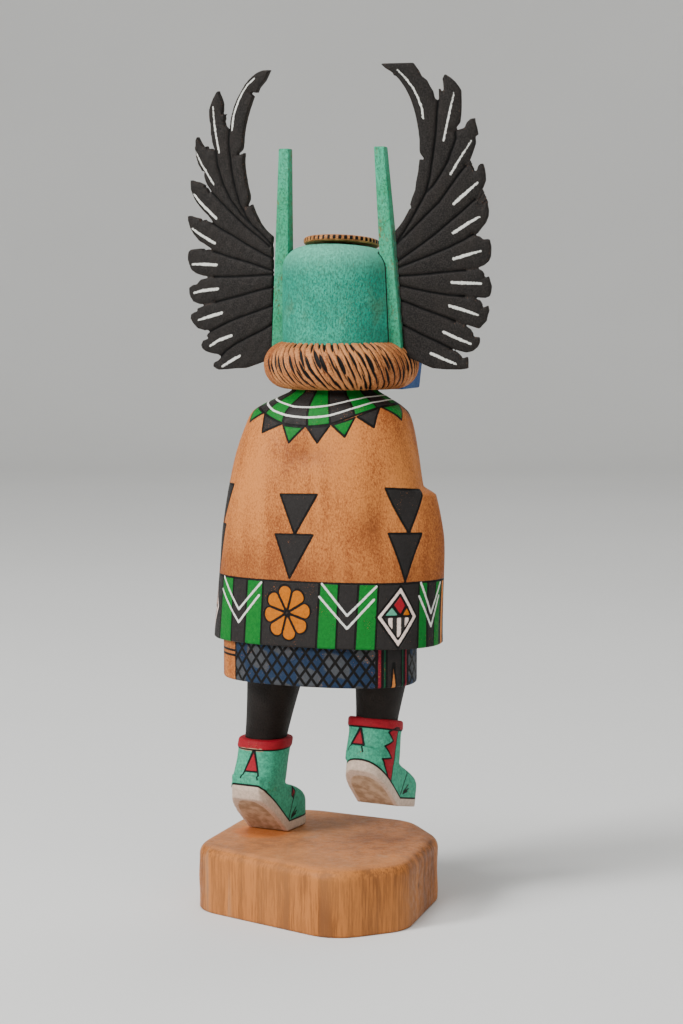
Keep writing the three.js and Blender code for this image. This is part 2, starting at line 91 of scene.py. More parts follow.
class DollSizes(bpy.types.PropertyGroup):
    base_height: bpy.props.FloatProperty(
        name="Base height", description="Height of the wooden base", default=BASE_HIGH.z, unit="LENGTH"
    )
    base_rounding: length("Base rounding", "Radius of the worn top edge of the base", 4.2)
    figure_height: length("Figure height", "From the top of the base to the top of the mask", 218)
    mask_width: length("Mask width", "Side to side across the case mask", 42)
    mask_depth: length("Mask depth", "Front to back through the case mask", 44)
    ruff_radius: length("Ruff radius", "From the middle to the outside of the rolled ruff", 27.9)
    ruff_tube: length("Ruff roll", "Radius of the roll itself", 8.5)
    crown_radius: length("Crown radius", "Radius of the disc on top of the mask", 13.6)
    post_height: length("Post height", "Height of the posts above the ruff", 68)
    wing_thickness: length("Wing thickness", "Thickness of the wing boards", 3)
    line_width: length("Burnt line", "Width of the burnt outlines", 0.62)


class DollColours(bpy.types.PropertyGroup):
    wood: colour("Oiled wood", "Body of the figure", 200, 124, 60)
    # The dark grain colour, darkened further, also paints the shade on the cape
    wood_dark: colour("Dark grain", "Darker streaks of the oiled wood", 132, 68, 30)
    base_wood: colour("Base wood", "Block that the doll stands on", 174, 106, 50)
    turquoise: colour("Turquoise", "Mask and posts", 12, 150, 124)
    black: colour("Black", "Dark fields of the collar and the border", 36, 33, 32)
    burnt: colour("Burnt lines", "Outlines round every painted field", 8, 6, 5)
    feather: colour("Feather black", "Wings and legs", 20, 18, 17)
    green: colour("Leaf green", "Collar and border", 6, 106, 34)
    boot_green: colour("Boot green", "Boots", 56, 150, 118)
    orange: colour("Orange", "Petals of the border", 182, 100, 0)
    red: colour("Red", "Boot cuffs and small fields", 148, 20, 34)
    blue: colour("Blue", "Block under the chin", 16, 72, 130)
    white: colour("White", "Chevrons, arcs and shaft marks", 222, 222, 214)
    pink: colour("Pale pink", "Frame of the diamond", 230, 208, 198)
    sole: colour("Sole", "Pale edge of the boot soles", 196, 174, 156)
    stage: colour("Stage", "Floor and backdrop", 226, 226, 224)


# Maths of the forms, in millimetres


def smoothstep(value, low, high):
    """Rises softly from 0 at the low end to 1 at the high end."""
    t = np.clip((np.asarray(value, float) - low) / (high - low), 0, 1)
    return t * t * (3 - 2 * t)


def bell(turn, width):
    """1 at no turn, falling off to both sides."""
    turn = np.arctan2(np.sin(turn), np.cos(turn))
    return np.exp(-((turn / width) ** 2))


def smooth_table(table, at):
    """A row between the rows of a table, on a curve that never overshoots them."""
    rows = np.array(table, float)
    x, y = rows[:, 0], rows[:, 1:]
    slope = np.diff(y, axis=0) / np.diff(x)[:, None]
    tangent = np.vstack([slope[:1], slope[:-1], slope[-1:]])[: len(x)]
    product = slope[:-1] * slope[1:]
    total = slope[:-1] + slope[1:]
    tangent[1:-1] = np.where(product > 0, 2 * product / np.where(product > 0, total, 1), 0)
    tangent[-1] = slope[-1]
    i = int(np.clip(np.searchsorted(x, at) - 1, 0, len(x) - 2))
    h = x[i + 1] - x[i]
    t = min(max((at - x[i]) / h, 0), 1)
    return (
        (1 + 2 * t) * (1 - t) ** 2 * y[i]
        + t * (1 - t) ** 2 * h * tangent[i]
        + t * t * (3 - 2 * t) * y[i + 1]
        + t * t * (t - 1) * h * tangent[i + 1]
    )


def curve(first, pull, last, count):
    """Points from the first to the last, on a curve pulled towards a point beside them."""
    t = np.arange(count)[:, None] / (count - 1)
    return np.array(first) * (1 - t) ** 2 + 2 * t * (1 - t) * np.array(pull) + np.array(last) * t * t


def outside(value, span):
    """How far a value lies outside a span, negative inside."""
    return np.maximum(span[0] - value, value - span[1])


def spot(x, z, middle, width, level, height, lean=0.0):
    """A soft spot on a surface: 1 in its middle, and leaning by a share of the way down."""
    return np.exp(-(((x - middle - (level + 1 - z) * lean) / width) ** 2) - ((z - level) / height) ** 2)


def full_ring(cx, cy, z, half_width, half_depth, turns, squareness=2.0, swell=1.0):
    """A level ring: squareness 2 is an ellipse, more is fuller."""
    c, s = np.cos(turns), np.sin(turns)
    r = swell / (np.abs(c) ** squareness + np.abs(s) ** squareness) ** (1 / squareness)
    return np.stack([cx + half_width * r * c, cy + half_depth * r * s, np.full_like(c, z)], -1)


def turned(a, b, angle):
    """Two coordinates of a plane, turned in it."""
    return a * math.cos(angle) - b * math.sin(angle), a * math.sin(angle) + b * math.cos(angle)


def turns_from_front(count):
    return -BACK + TURN * np.arange(count) / count


def path_distance(points, path):
    """Distance from each point to an open path."""
    nearest = np.full(len(points), 1e18)
    px, py = points[:, 0], points[:, 1]
    for (ax, ay), (bx, by) in zip(path[:-1], path[1:]):
        ex, ey = bx - ax, by - ay
        along = np.clip(((px - ax) * ex + (py - ay) * ey) / (ex * ex + ey * ey + 1e-12), 0, 1)
        nearest = np.minimum(nearest, (px - ax - along * ex) ** 2 + (py - ay - along * ey) ** 2)
    return np.sqrt(nearest)


def outline_distance(points, outline):
    """Signed distance from each point to a closed outline, negative inside."""
    closed = [*outline, outline[0]]
    inside = np.zeros(len(points), bool)
    px, py = points[:, 0], points[:, 1]
    for (ax, ay), (bx, by) in zip(closed[:-1], closed[1:]):
        rise = by - ay if abs(by - ay) > 1e-9 else 1e-9
        inside ^= ((ay > py) != (by > py)) & (px < (bx - ax) * (py - ay) / rise + ax)
    return np.where(inside, -1, 1) * path_distance(points, closed)


class Painting:
    """Fields of colour on a surface, each kept as the distance in millimetres to its edge."""

    def __init__(self, points, line_width):
        self.points = points
        self.half_line = line_width / MM / 2
        self.fields = {}

    def area(self, name, distance):
        have = self.fields.get(name)
        self.fields[name] = distance if have is None else np.minimum(have, distance)
        return distance

    def line(self, distance):
        self.area("burnt", np.abs(distance) - self.half_line)

    def shape(self, name, outline, burnt=False):
        distance = self.area(name, outline_distance(self.points, outline))
        if burnt:
            self.line(distance)
        return distance

    def stroke(self, name, path, half_width):
        self.area(name, path_distance(self.points, path) - half_width)

    def sheets(self, shape):
        """The fields in rows, one for each ring of the surface."""
        return {name: field.reshape(shape) for name, field in self.fields.items()}


# Mesh making


def start(name, add, **size):
    """A new piece from one of Blender's own shapes, left as the active one."""
    if bpy.context.object and bpy.context.object.mode != "OBJECT":
        bpy.ops.object.mode_set(mode="OBJECT")
    bpy.ops.object.select_all(action="DESELECT")
    add(**size)
    piece = bpy.context.object
    piece.name = name
    piece.data.name = name
    return piece


def places(piece):
    """Where the vertices of a piece are, in metres."""
    flat = np.empty(len(piece.data.vertices) * 3)
    piece.data.vertices.foreach_get("co", flat)
    return flat.reshape(-1, 3)


def place(piece, points):
    piece.data.vertices.foreach_set("co", np.ascontiguousarray(points).ravel())
    piece.data.update()


def keep_fields(piece, fields):
    """Stores fields on the vertices, where the finishes read them."""
    for name, values in fields.items():
        attribute = piece.data.attributes.new(name, "FLOAT", "POINT")
        attribute.data.foreach_set("value", np.ascontiguousarray(values, np.float32).ravel())


def close_up(sharp=None):
    """Merges the doubles of the active piece, turns its faces outwards and shades it."""
    bpy.ops.object.mode_set(mode="EDIT")
    bpy.ops.mesh.select_all(action="SELECT")
    bpy.ops.mesh.remove_doubles(threshold=1e-6)
    bpy.ops.mesh.normals_make_consistent(inside=False)
    bpy.ops.object.mode_set(mode="OBJECT")
    if sharp:
        bpy.ops.object.shade_smooth_by_angle(angle=math.radians(sharp))
    else:
        bpy.ops.object.shade_smooth()


def wrapped(name, rings, fields=None, sharp=None):
    """A grid wrapped round into a closed body. Rings run upwards, and end rings of one point close it."""
    levels, count = rings.shape[:2]
    piece = start(
        name, bpy.ops.mesh.primitive_grid_add, x_subdivisions=count, y_subdivisions=levels - 1, size=2
    )
    flat = places(piece)
    i = np.rint((flat[:, 0] + 1) / 2 * count).astype(int) % count
    level = np.rint((flat[:, 1] + 1) / 2 * (levels - 1)).astype(int)
    place(piece, rings[level, i] * MM)
    keep_fields(piece, {key: values[level, i] for key, values in (fields or {}).items()})
    close_up(sharp)
    return piece


def extruded(name, points, shift):
    """A body drawn straight out from a closed outline, in millimetres."""
    piece = start(name, bpy.ops.mesh.primitive_circle_add, vertices=len(points), radius=1)
    place(piece, np.array(points) * MM)
    bpy.ops.object.mode_set(mode="EDIT")
    bpy.ops.mesh.select_all(action="SELECT")
    bpy.ops.mesh.edge_face_add()
    bpy.ops.mesh.extrude_region_move(TRANSFORM_OT_translate={"value": [step * MM for step in shift]})
    bpy.ops.mesh.select_all(action="SELECT")
    bpy.ops.mesh.normals_make_consistent(inside=False)
    bpy.ops.object.mode_set(mode="OBJECT")
    return piece


def modify(piece, kind, **settings):
    """Applies one modifier to the active piece."""
    modifier = piece.modifiers.new("Shape", kind)
    for key, value in settings.items():
        setattr(modifier, key, value)
    bpy.ops.object.modifier_apply(modifier=modifier.name)


def evened(piece, cell, rounds):
    """Gives a body faces of one size and wears its edges down in a number of rounds."""
    modify(piece, "REMESH", mode="VOXEL", voxel_size=cell * MM)
    modify(piece, "SMOOTH", factor=0.5, iterations=rounds)


def rounded(offset, segments):
    """Rounds every edge of the active piece and closes it up."""
    bpy.ops.object.mode_set(mode="EDIT")
    bpy.ops.mesh.select_all(action="SELECT")
    bpy.ops.mesh.bevel(offset=offset * MM, segments=segments)
    bpy.ops.object.mode_set(mode="OBJECT")
    close_up(40)


def belongs(piece, node, material):
    """Gives a piece its finish, hangs it under the root and hides the solid that it dresses."""
    piece.data.materials.clear()
    piece.data.materials.append(material)
    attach(piece, "root")
    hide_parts(node)


# Finishes


class Finish:
    """A material in the making, on Object coordinates and the piece's own fields."""

    def __init__(self, name, roughness):
        self.material = bpy.data.materials.new(name)
        self.material.use_nodes = True
        self.tree = self.material.node_tree
        self.shader = self.tree.nodes["Principled BSDF"]
        self.shader.inputs["Roughness"].default_value = roughness
        self.shader.inputs["Specular IOR Level"].default_value = 0.16
        self.place = self.node("ShaderNodeTexCoord").outputs["Object"]
        self.heights = []

    def node(self, kind, inputs=None, **settings):
        node = self.tree.nodes.new(kind)
        for key, value in settings.items():
            setattr(node, key, value)
        for key, value in (inputs or {}).items():
            self.feed(node.inputs[key], value)
        return node

    def feed(self, socket, value):
        if isinstance(value, bpy.types.NodeSocket):
            self.tree.links.new(value, socket)
        elif socket.type == "RGBA" and len(value) == 3:
            socket.default_value = (*value, 1)
        else:
            socket.default_value = value

    def maths(self, operation, a, b=0.0):
        return self.node("ShaderNodeMath", {0: a, 1: b}, operation=operation).outputs[0]

    def noise(self, per_metre, stretch=(1, 1, 1), detail=3.0, roughness=0.55):
        mapped = self.node("ShaderNodeMapping", {"Vector": self.place, "Scale": stretch}).outputs[0]
        texture = self.node(
            "ShaderNodeTexNoise", {"Vector": mapped, "Scale": per_metre, "Detail": detail, "Roughness": roughness}
        )
        return texture.outputs["Fac"]

    def step(self, value, low, high, start=0.0, end=1.0):
        node = self.node(
            "ShaderNodeMapRange",
            {"Value": value, "From Min": low, "From Max": high, "To Min": start, "To Max": end},
            interpolation_type="SMOOTHSTEP",
        )
        return node.outputs[0]

    def mix(self, share, a, b, mode="MIX"):
        node = self.node("ShaderNodeMix", {0: share, 6: a, 7: b}, data_type="RGBA", blend_type=mode)
        return node.outputs[2]

    def field(self, name):
        return self.node("ShaderNodeAttribute", attribute_name=name, attribute_type="GEOMETRY").outputs["Fac"]

    def within(self, name, soft=0.12):
        """Mask of the inside of a field, with a soft edge."""
        return self.step(self.field(name), -soft, soft, 1.0, 0.0)

    def total(self, *parts):
        """Sum of parts, each a value and its weight."""
        weighted = [self.maths("MULTIPLY", value, weight) for value, weight in parts]
        result = weighted[0]
        for more in weighted[1:]:
            result = self.maths("ADD", result, more)
        return result

    def away(self, *point):
        """Distance from a point given in millimetres."""
        there = {0: self.place, 1: [value * MM for value in point]}
        return self.node("ShaderNodeVectorMath", there, operation="DISTANCE").outputs["Value"]

    def height(self):
        return self.node("ShaderNodeSeparateXYZ", {0: self.place}).outputs[2]

    def raised(self, height, amount):
        self.heights.append(self.maths("MULTIPLY", height, amount))

    def coat(self, under, colour, inside, wear, tone=0.12):
        """A coat of paint: inside is its mask, wear the share that has rubbed off in small flecks."""
        flecks = self.noise(2300, detail=4, roughness=0.7)
        patches = self.noise(160, detail=2)
        hold = self.maths("ADD", flecks, self.maths("MULTIPLY", self.maths("SUBTRACT", patches, 0.5), 0.35))
        kept = self.step(hold, wear - 0.05, wear + 0.04)
        shade = self.step(self.noise(900, detail=5, roughness=0.8), 0.3, 0.7, 1 - 1.6 * tone, 1 + 1.6 * tone)
        grey = self.node("ShaderNodeCombineXYZ", {0: shade, 1: shade, 2: shade}).outputs[0]
        toned = self.mix(1.0, colour, grey, "MULTIPLY")
        covered = self.maths("MULTIPLY", inside, kept) if not isinstance(inside, float) else kept
        self.raised(covered, 0.25)
        return self.mix(covered, under, toned)

    def wood(self, light, dark, along=(1, 1, 0.3)):
        """Close-grained wood: fine fibres, soft bands and clouds, and small bright and dark flecks."""
        fibres = self.noise(1900, along, 5, 0.7)
        bands = self.noise(170, (1, 1, 0.14), 3, 0.5)
        clouds = self.noise(34, (1, 1, 0.6), 3, 0.55)
        flecks = self.noise(3200, (1, 1, 0.5), 2, 0.6)
        tone = self.total((fibres, 0.62), (bands, 0.22), (clouds, 0.42))
        body = self.mix(self.step(tone, 0.5, 0.75, 1.0, 0.0), light, dark)
        pale = tuple(min(1, c * 1.3) for c in light)
        body = self.mix(self.step(flecks, 0.56, 0.7, 0.0, 0.5), body, pale)
        body = self.mix(self.step(flecks, 0.28, 0.42, 0.3, 0.0), body, darker(dark, 0.6))
        self.raised(fibres, 0.7)
        self.raised(flecks, 0.3)
        return body

    def done(self, base_colour, depth=0.12, roughness=None):
        """Joins colour, relief and roughness to the shader. The depth is in millimetres."""
        self.feed(self.shader.inputs["Base Color"], base_colour)
        if roughness is not None:
            self.feed(self.shader.inputs["Roughness"], roughness)
        height = self.heights[0]
        for more in self.heights[1:]:
            height = self.maths("ADD", height, more)
        bump = self.node("ShaderNodeBump", {"Height": height, "Strength": 1.0, "Distance": depth * MM})
        self.feed(self.shader.inputs["Normal"], bump.outputs[0])
        return self.material


def carved_and_painted(name, colours, coats, over=(), wear=0.3, lattice=None, shade=None):
    """Oiled wood, darkened by painted shade where a shade field is given, under coats of paint with burnt outlines,
    and the last coats over the outlines.
    """
    finish = Finish(name, 0.55)
    body = finish.wood(colours.wood, colours.wood_dark, (1, 1, 0.6))
    edge = finish.maths("MULTIPLY", finish.maths("SUBTRACT", finish.noise(1400, detail=2), 0.5), 0.28)
    # Painted shade: the wood darkens patchily where the shade field is high
    if shade:
        patchy = finish.step(finish.noise(500, detail=4), 0.3, 0.6, 0.35, 0.9)
        uneven = finish.maths("MULTIPLY", finish.field(shade), patchy)
        body = finish.mix(uneven, body, darker(colours.wood_dark, 0.8))

    def inside(field):
        return finish.step(finish.maths("ADD", finish.field(field), edge), -0.12, 0.12, 1.0, 0.0)

    apart = finish.maths("ADD", finish.field("burnt"), 0.31) if lattice else 9.0
    for field, paint_colour, outlined in coats:
        body = finish.coat(body, paint_colour, inside(field), wear)
        if outlined:
            apart = finish.maths("MINIMUM", apart, finish.maths("ABSOLUTE", finish.field(field)))
    lines = finish.step(finish.maths("ADD", apart, edge), 0.24, 0.5, 1.0, 0.0)
    if lattice:
        ways = [finish.maths("PINGPONG", finish.field(way), 0.5) for way in ("first_way", "second_way")]
        crossing = finish.step(finish.maths("MINIMUM", *ways), 0.11, 0.16, 1.0, 0.0)
        lines = finish.maths("MAXIMUM", lines, finish.maths("MULTIPLY", crossing, inside(lattice)))
    body = finish.coat(body, colours.burnt, lines, 0.22)
    finish.raised(lines, -1.6)
    for field, paint_colour in over:
        body = finish.coat(body, paint_colour, inside(field), wear + 0.03)
    rough = finish.step(finish.noise(700, detail=3), 0.3, 0.7, 0.46, 0.66)
    return finish.done(body, 0.14, rough)


def rubbed_paint(name, paint_colour, lighter, wood_colour, wear, along=(1, 1, 0.15)):
    """One worn coat of matt paint over wood, with brown showing through."""
    finish = Finish(name, 0.6)
    body = finish.wood(wood_colour, darker(wood_colour, 0.55), along)
    tones = finish.mix(finish.step(finish.noise(90, detail=3), 0.35, 0.65), paint_colour, lighter)
    speckle = finish.step(finish.noise(1500, (1, 1, 0.7), 4, 0.8), 0.34, 0.56, 0.8, 0.0)
    tones = finish.mix(speckle, tones, darker(paint_colour, 0.4))
    finish.raised(speckle, -0.8)
    scratches = finish.noise(1500, along, 5, 0.75)
    patches = finish.noise(110, (1, 1, 0.5), 3, 0.6)
    hold = finish.total((scratches, 0.75), (patches, 0.45))
    kept = finish.step(hold, wear - 0.07, wear + 0.05)
    thin = finish.step(finish.noise(1800, detail=4, roughness=0.7), 0.25, 0.7, 0.82, 1.0)
    body = finish.mix(finish.maths("MULTIPLY", kept, thin), body, tones)
    finish.raised(kept, 0.5)
    finish.raised(scratches, 0.4)
    return finish, body


# Figure: levels of the cape as share of the height, half width, half depth and the middle's place
CAPE_LEVELS = [
    (0.345, 42.2, 23.0, 3.4, 6.0),
    (0.353, 42.1, 23.0, 3.4, 6.0),
    (0.445, 40.2, 22.8, 3.3, 6.2),
    (0.51, 38.8, 22.6, 3.2, 6.5),
    (0.56, 37.2, 22.4, 3.2, 6.8),
    (0.587, 36.1, 22.1, 3.3, 6.9),
    (0.603, 35.4, 21.9, 3.4, 6.9),
    (0.65, 33.6, 21.4, 3.2, 6.4),
    (0.7, 30.8, 20.2, 2.7, 5.2),
    (0.72, 28.9, 19.2, 2.5, 4.8),
    (0.733, 25.2, 17.9, 2.2, 4.2),
    (0.745, 20.0, 16.0, 1.8, 3.6),
    (0.758, 15.2, 13.8, 1.5, 3.0),
    (0.79, 14.4, 13.0, 1.4, 2.6),
]
CAPE_SQUARENESS = 2.35
# Forearms under the cape: their top as share of the height, the swell, and for each arm its turn, width and strength
FOREARM_TOP, FOREARM_SWELL = 0.598, 0.11
FOREARMS = [(1.06 * math.pi, 0.42, 1.0), (1.88 * math.pi, 0.36, 0.9)]
ELBOW_TURN, ELBOW_WIDTH, ELBOW_HOLLOW = 0.86 * math.pi, 0.2, 0.035
NECK_SHARE = 0.762
# Slit down the front of the cape: place, depth and top
SLIT_X, SLIT_DEPTH, SLIT_TOP = 2.6, 2.4, 0.72

# The collar: turns from the middle of the back in degrees, and the way down from the neck in mm
WEDGES_AT_NECK = [-162, -142, -122, -102, -82, -62, -42, -22, -7, 11, 32, 54, 79, 100, 120, 140, 160, 180]
WEDGES_AT_EDGE = [-162, -142, -122, -100, -80, -59, -38, -19.8, -1.3, 13.8, 30.3, 51.9, 80, 101, 121, 141, 161, 180]
COLLAR_EDGE = [(-180, 11), (-110, 10.5), (-60, 14), (-38, 15.7), (-20, 16.9), (-1, 16.4), (14, 15.6),
               (30, 13.6), (52, 11.8), (86, 10.4), (120, 10.4), (180, 11)]
COLLAR_ARCS = [
    [(-180, 5), (-110, 5), (-60, 7.6), (-42, 8.6), (-17, 9.7), (-2, 9.1), (12, 8.2), (30, 6.5), (53, 5), (85, 4.6),
     (180, 5)],
    [(-180, 8), (-110, 8), (-60, 11), (-45, 12.2), (-32, 13.4), (-19, 13.7), (-1.5, 13.2), (13, 12.4), (30, 10.5),
     (52, 8.6), (85, 7.8), (180, 8)],
]
# Pointed flaps under the collar, along the girth and down from the neck
FLAPS = [
    ("green", [(-29.5, 14.4), (-20.4, 15.6), (-28.4, 21)]),
    ("black", [(-19.5, 15.9), (-10.8, 17), (-19.1, 22.2)]),
    ("green", [(-10.2, 17.4), (-2, 16.8), (-7.2, 23.1)]),
    ("black", [(-0.9, 16.7), (7.3, 16.2), (3.6, 22.2)]),
    ("green", [(8.1, 16), (15.7, 14.4), (13.2, 20.7)]),
    ("black", [(16.5, 14.2), (23.8, 12), (23, 19.2)]),
    ("green", [(24.8, 12), (37, 11), (34.6, 18.6)]),
    ("black", [(38, 10.9), (48, 10.6), (43, 17.4)]),
    ("green", [(49, 10.6), (59, 10.6), (54, 17.4)]),
    ("black", [(60, 10.6), (70, 10.6), (65, 17.4)]),
    ("black", [(-41, 12.4), (-30.5, 14.2), (-36, 20.4)]),
    ("green", [(-52, 11), (-42, 12.2), (-47, 18.4)]),
    ("black", [(-63, 10.6), (-53, 11), (-58, 17.6)]),
    ("green", [(-74, 10.6), (-64, 10.6), (-69, 17.4)]),
]
# Black points on the cape, along the girth from the middle of the back and in height
CAPE_POINTS = [
    [(-9.1, 153.4), (4.8, 153.7), (-3.8, 139.3)],
    [(-11.2, 139.3), (3.1, 139.5), (-5.7, 123.9)],
    [(29.9, 156), (44.9, 154.8), (38.5, 139.9)],
    [(31.5, 140.2), (43.2, 139.8), (36.4, 123.4)],
    [(-45.5, 155.4), (-31.6, 155.8), (-38.8, 141.4)],
    [(-47, 141), (-35.8, 141.2), (-41.4, 124)],
    [(69, 140.6), (82, 140.6), (75.4, 124)],
    [(-82, 140.6), (-69, 140.6), (-75.4, 124)],
]
# Hollows of the cape by depth, and its spots of painted shade in those hollows by strength: girth, width, level,
# height and lean
CAPE_HOLLOWS = [(2.3, 29.5, 6.5, 145, 13, 0.1), (1.0, 1, 9, 168.5, 4.5)]
CAPE_PAINTED_SHADES = [(0.7, 24, 6, 141, 7), (0.6, -1, 9, 167, 3.5)]
# Shares of the height where the cape's rings begin and end, and where they stand closer over the shoulders
CAPE_LOW, CAPE_RINGS_LOW, SHOULDER_LOW, SHOULDER_HIGH = 0.345, 0.3475, 0.7, 0.758
BORDER_LOW, BORDER_HIGH = 99.0, 122.7
# Feathered panels of the border: left edge and right edge
BORDER_PANELS = [(-36.6, -16.4), (5.7, 26.4), (42.2, 53.4), (77, 95), (-78, -58)]
BORDER_FLOWERS = [-6.6, 66, -88]
BORDER_DIAMONDS = [33.6, -46.9]
FLOWER_LEVEL, DIAMOND_LEVEL = 111.6, 111.2
BARE_STRIP, BARE_HALF_WIDTH = 55.2, 1.2


def up(share, sizes):
    return sizes.base_height / MM + SEAT_GAP + share * sizes.figure_height / MM


def mask_top(sizes):
    return up(1, sizes) - SEAT_GAP


def ruff_level(sizes):
    return mask_top(sizes) - RUFF_DROP


def cape_ring(share, turns, sizes):
    half_width, half_depth, cx, cy = smooth_table(CAPE_LEVELS, share)
    held = smoothstep(FOREARM_TOP - share, -0.005, 0.011)
    lower = smoothstep(share, 0.33, 0.54)
    over_arms = sum(strength * bell(turns - turn, width) for turn, width, strength in FOREARMS)
    swell = 1 + FOREARM_SWELL * held * (0.1 + 0.9 * lower) * over_arms
    swell = swell - ELBOW_HOLLOW * lower * held * bell(turns - ELBOW_TURN, ELBOW_WIDTH)
    return full_ring(cx, cy, up(share, sizes), half_width, half_depth, turns, CAPE_SQUARENESS, swell)


def girth_of(rings, turns):
    """Way round each ring from the middle of the back, towards the doll's right."""
    steps = np.linalg.norm(np.roll(rings, -1, 1) - rings, axis=2)
    around = np.concatenate([np.zeros((len(rings), 1)), np.cumsum(steps, 1)[:, :-1]], 1)
    middle = int(np.argmin(np.abs(turns - BACK)))
    return around - around[:, middle : middle + 1]


def way_down(rings, first):
    """Way down each column from the level numbered first, counted up where it is above."""
    steps = np.linalg.norm(np.diff(rings, axis=0), axis=2)
    rise = np.vstack([np.zeros((1, rings.shape[1])), np.cumsum(steps, 0)])
    return rise[first] - rise


def collar(painting, turn, down, radius):
    """Wedges of green and black under two white arcs, then the pointed flaps."""
    edge = np.interp(turn, *np.array(COLLAR_EDGE).T) + 0.5
    share = np.clip(down / edge, 0, 1)
    inner = edge - down
    bounds = [(1 - share) * a + share * b for a, b in zip(WEDGES_AT_NECK, WEDGES_AT_EDGE)]
    bounds = [bounds[-1] - 360, *bounds]
    for k in range(len(bounds) - 1):
        within = np.minimum(turn - bounds[k], bounds[k + 1] - turn) * math.pi / 180 * radius
        name = "green" if k % 2 == 1 else "black"
        painting.area(name, -np.minimum(within, inner))
    for arc in COLLAR_ARCS:
        level = np.interp(turn, *np.array(arc).T)
        painting.area("white", np.abs(down - level - 0.5) - 0.35)


def border(painting):
    """The painted border: feathered panels, flowers and diamonds between two dark edges."""
    low, high = BORDER_LOW, BORDER_HIGH
    z = painting.points[:, 1]
    painting.area("black", z - high)
    for left, right in BORDER_PANELS:
        wide = min(7.0, (right - left) * 0.34)
        for x in (left, right - wide + 0.3):
            painting.shape("green", [(x, high), (x + wide, high), (x + wide - 1.1, low - 2), (x - 1.4, low - 2)])
        middle = (left + right) / 2
        for drop in (0.2, 4.8):
            chevron = [(left + 0.8 - drop / 5, high - drop), (middle - 0.4, high - 11 - drop),
                       (right - 0.4 - drop / 5, high - 0.6 - drop)]
            painting.stroke("white", chevron, 0.38)
    for x in BORDER_FLOWERS:
        flower(painting, x, FLOWER_LEVEL)
    for x in BORDER_DIAMONDS:
        diamond(painting, x, DIAMOND_LEVEL)
    painting.area("bare", np.maximum(np.abs(painting.points[:, 0] - BARE_STRIP) - BARE_HALF_WIDTH, z - high))


def flower(painting, x, z):
    """Eight full petals round a point, kept apart by dark lines."""
    dx, dz = painting.points[:, 0] - x, (painting.points[:, 1] - z) / 1.1
    out, turn = np.hypot(dx, dz), np.arctan2(dz, dx) - 0.12
    lean = (turn + math.pi / 8) % (math.pi / 4) - math.pi / 8
    side = out * np.sin(math.pi / 8 - np.abs(lean)) - 0.06
    reach = 5.9 + 3.1 * np.sqrt(np.clip(1 - (lean / (math.pi / 8)) ** 2, 0, 1)) - out
    petals = -np.minimum(np.minimum(side, reach), out - 0.8)
    painting.area("orange", petals)


def diamond(painting, x, z):
    """A pale frame round a small field of red, turquoise and orange over three pale bars."""

    def corners(size):
        return [(x + 1.2 * size, z + 11.3 * size), (x + 7.6 * size, z - 0.2 * size),
                (x + 0.1 * size, z - 11.5 * size), (x - 8 * size, z - 0.1 * size)]

    painting.shape("pink", corners(0.96))
    inner = painting.shape("night", corners(0.69))
    painting.shape("red", [(x + 0.9, z + 7.7), (x + 3.1, z + 4), (x + 0.9, z + 0.2), (x - 1.9, z + 4.1)])
    painting.shape("turquoise", [(x - 5.2, z + 0.1), (x - 2.1, z + 3.9), (x + 0.6, z + 0.1)])
    painting.shape("orange", [(x + 5, z + 0.1), (x + 3.3, z + 3.7), (x + 1.2, z + 0.1)])
    above = painting.points[:, 1] - z
    for centre in (-2.7, 0.35, 3.2):
        bar = np.abs(painting.points[:, 0] - x - centre) - 0.72
        painting.area("pale", np.maximum(np.maximum(bar, inner + 0.3), above + 0.4))
    painting.area("burnt", np.maximum(np.abs(above) - painting.half_line, inner))


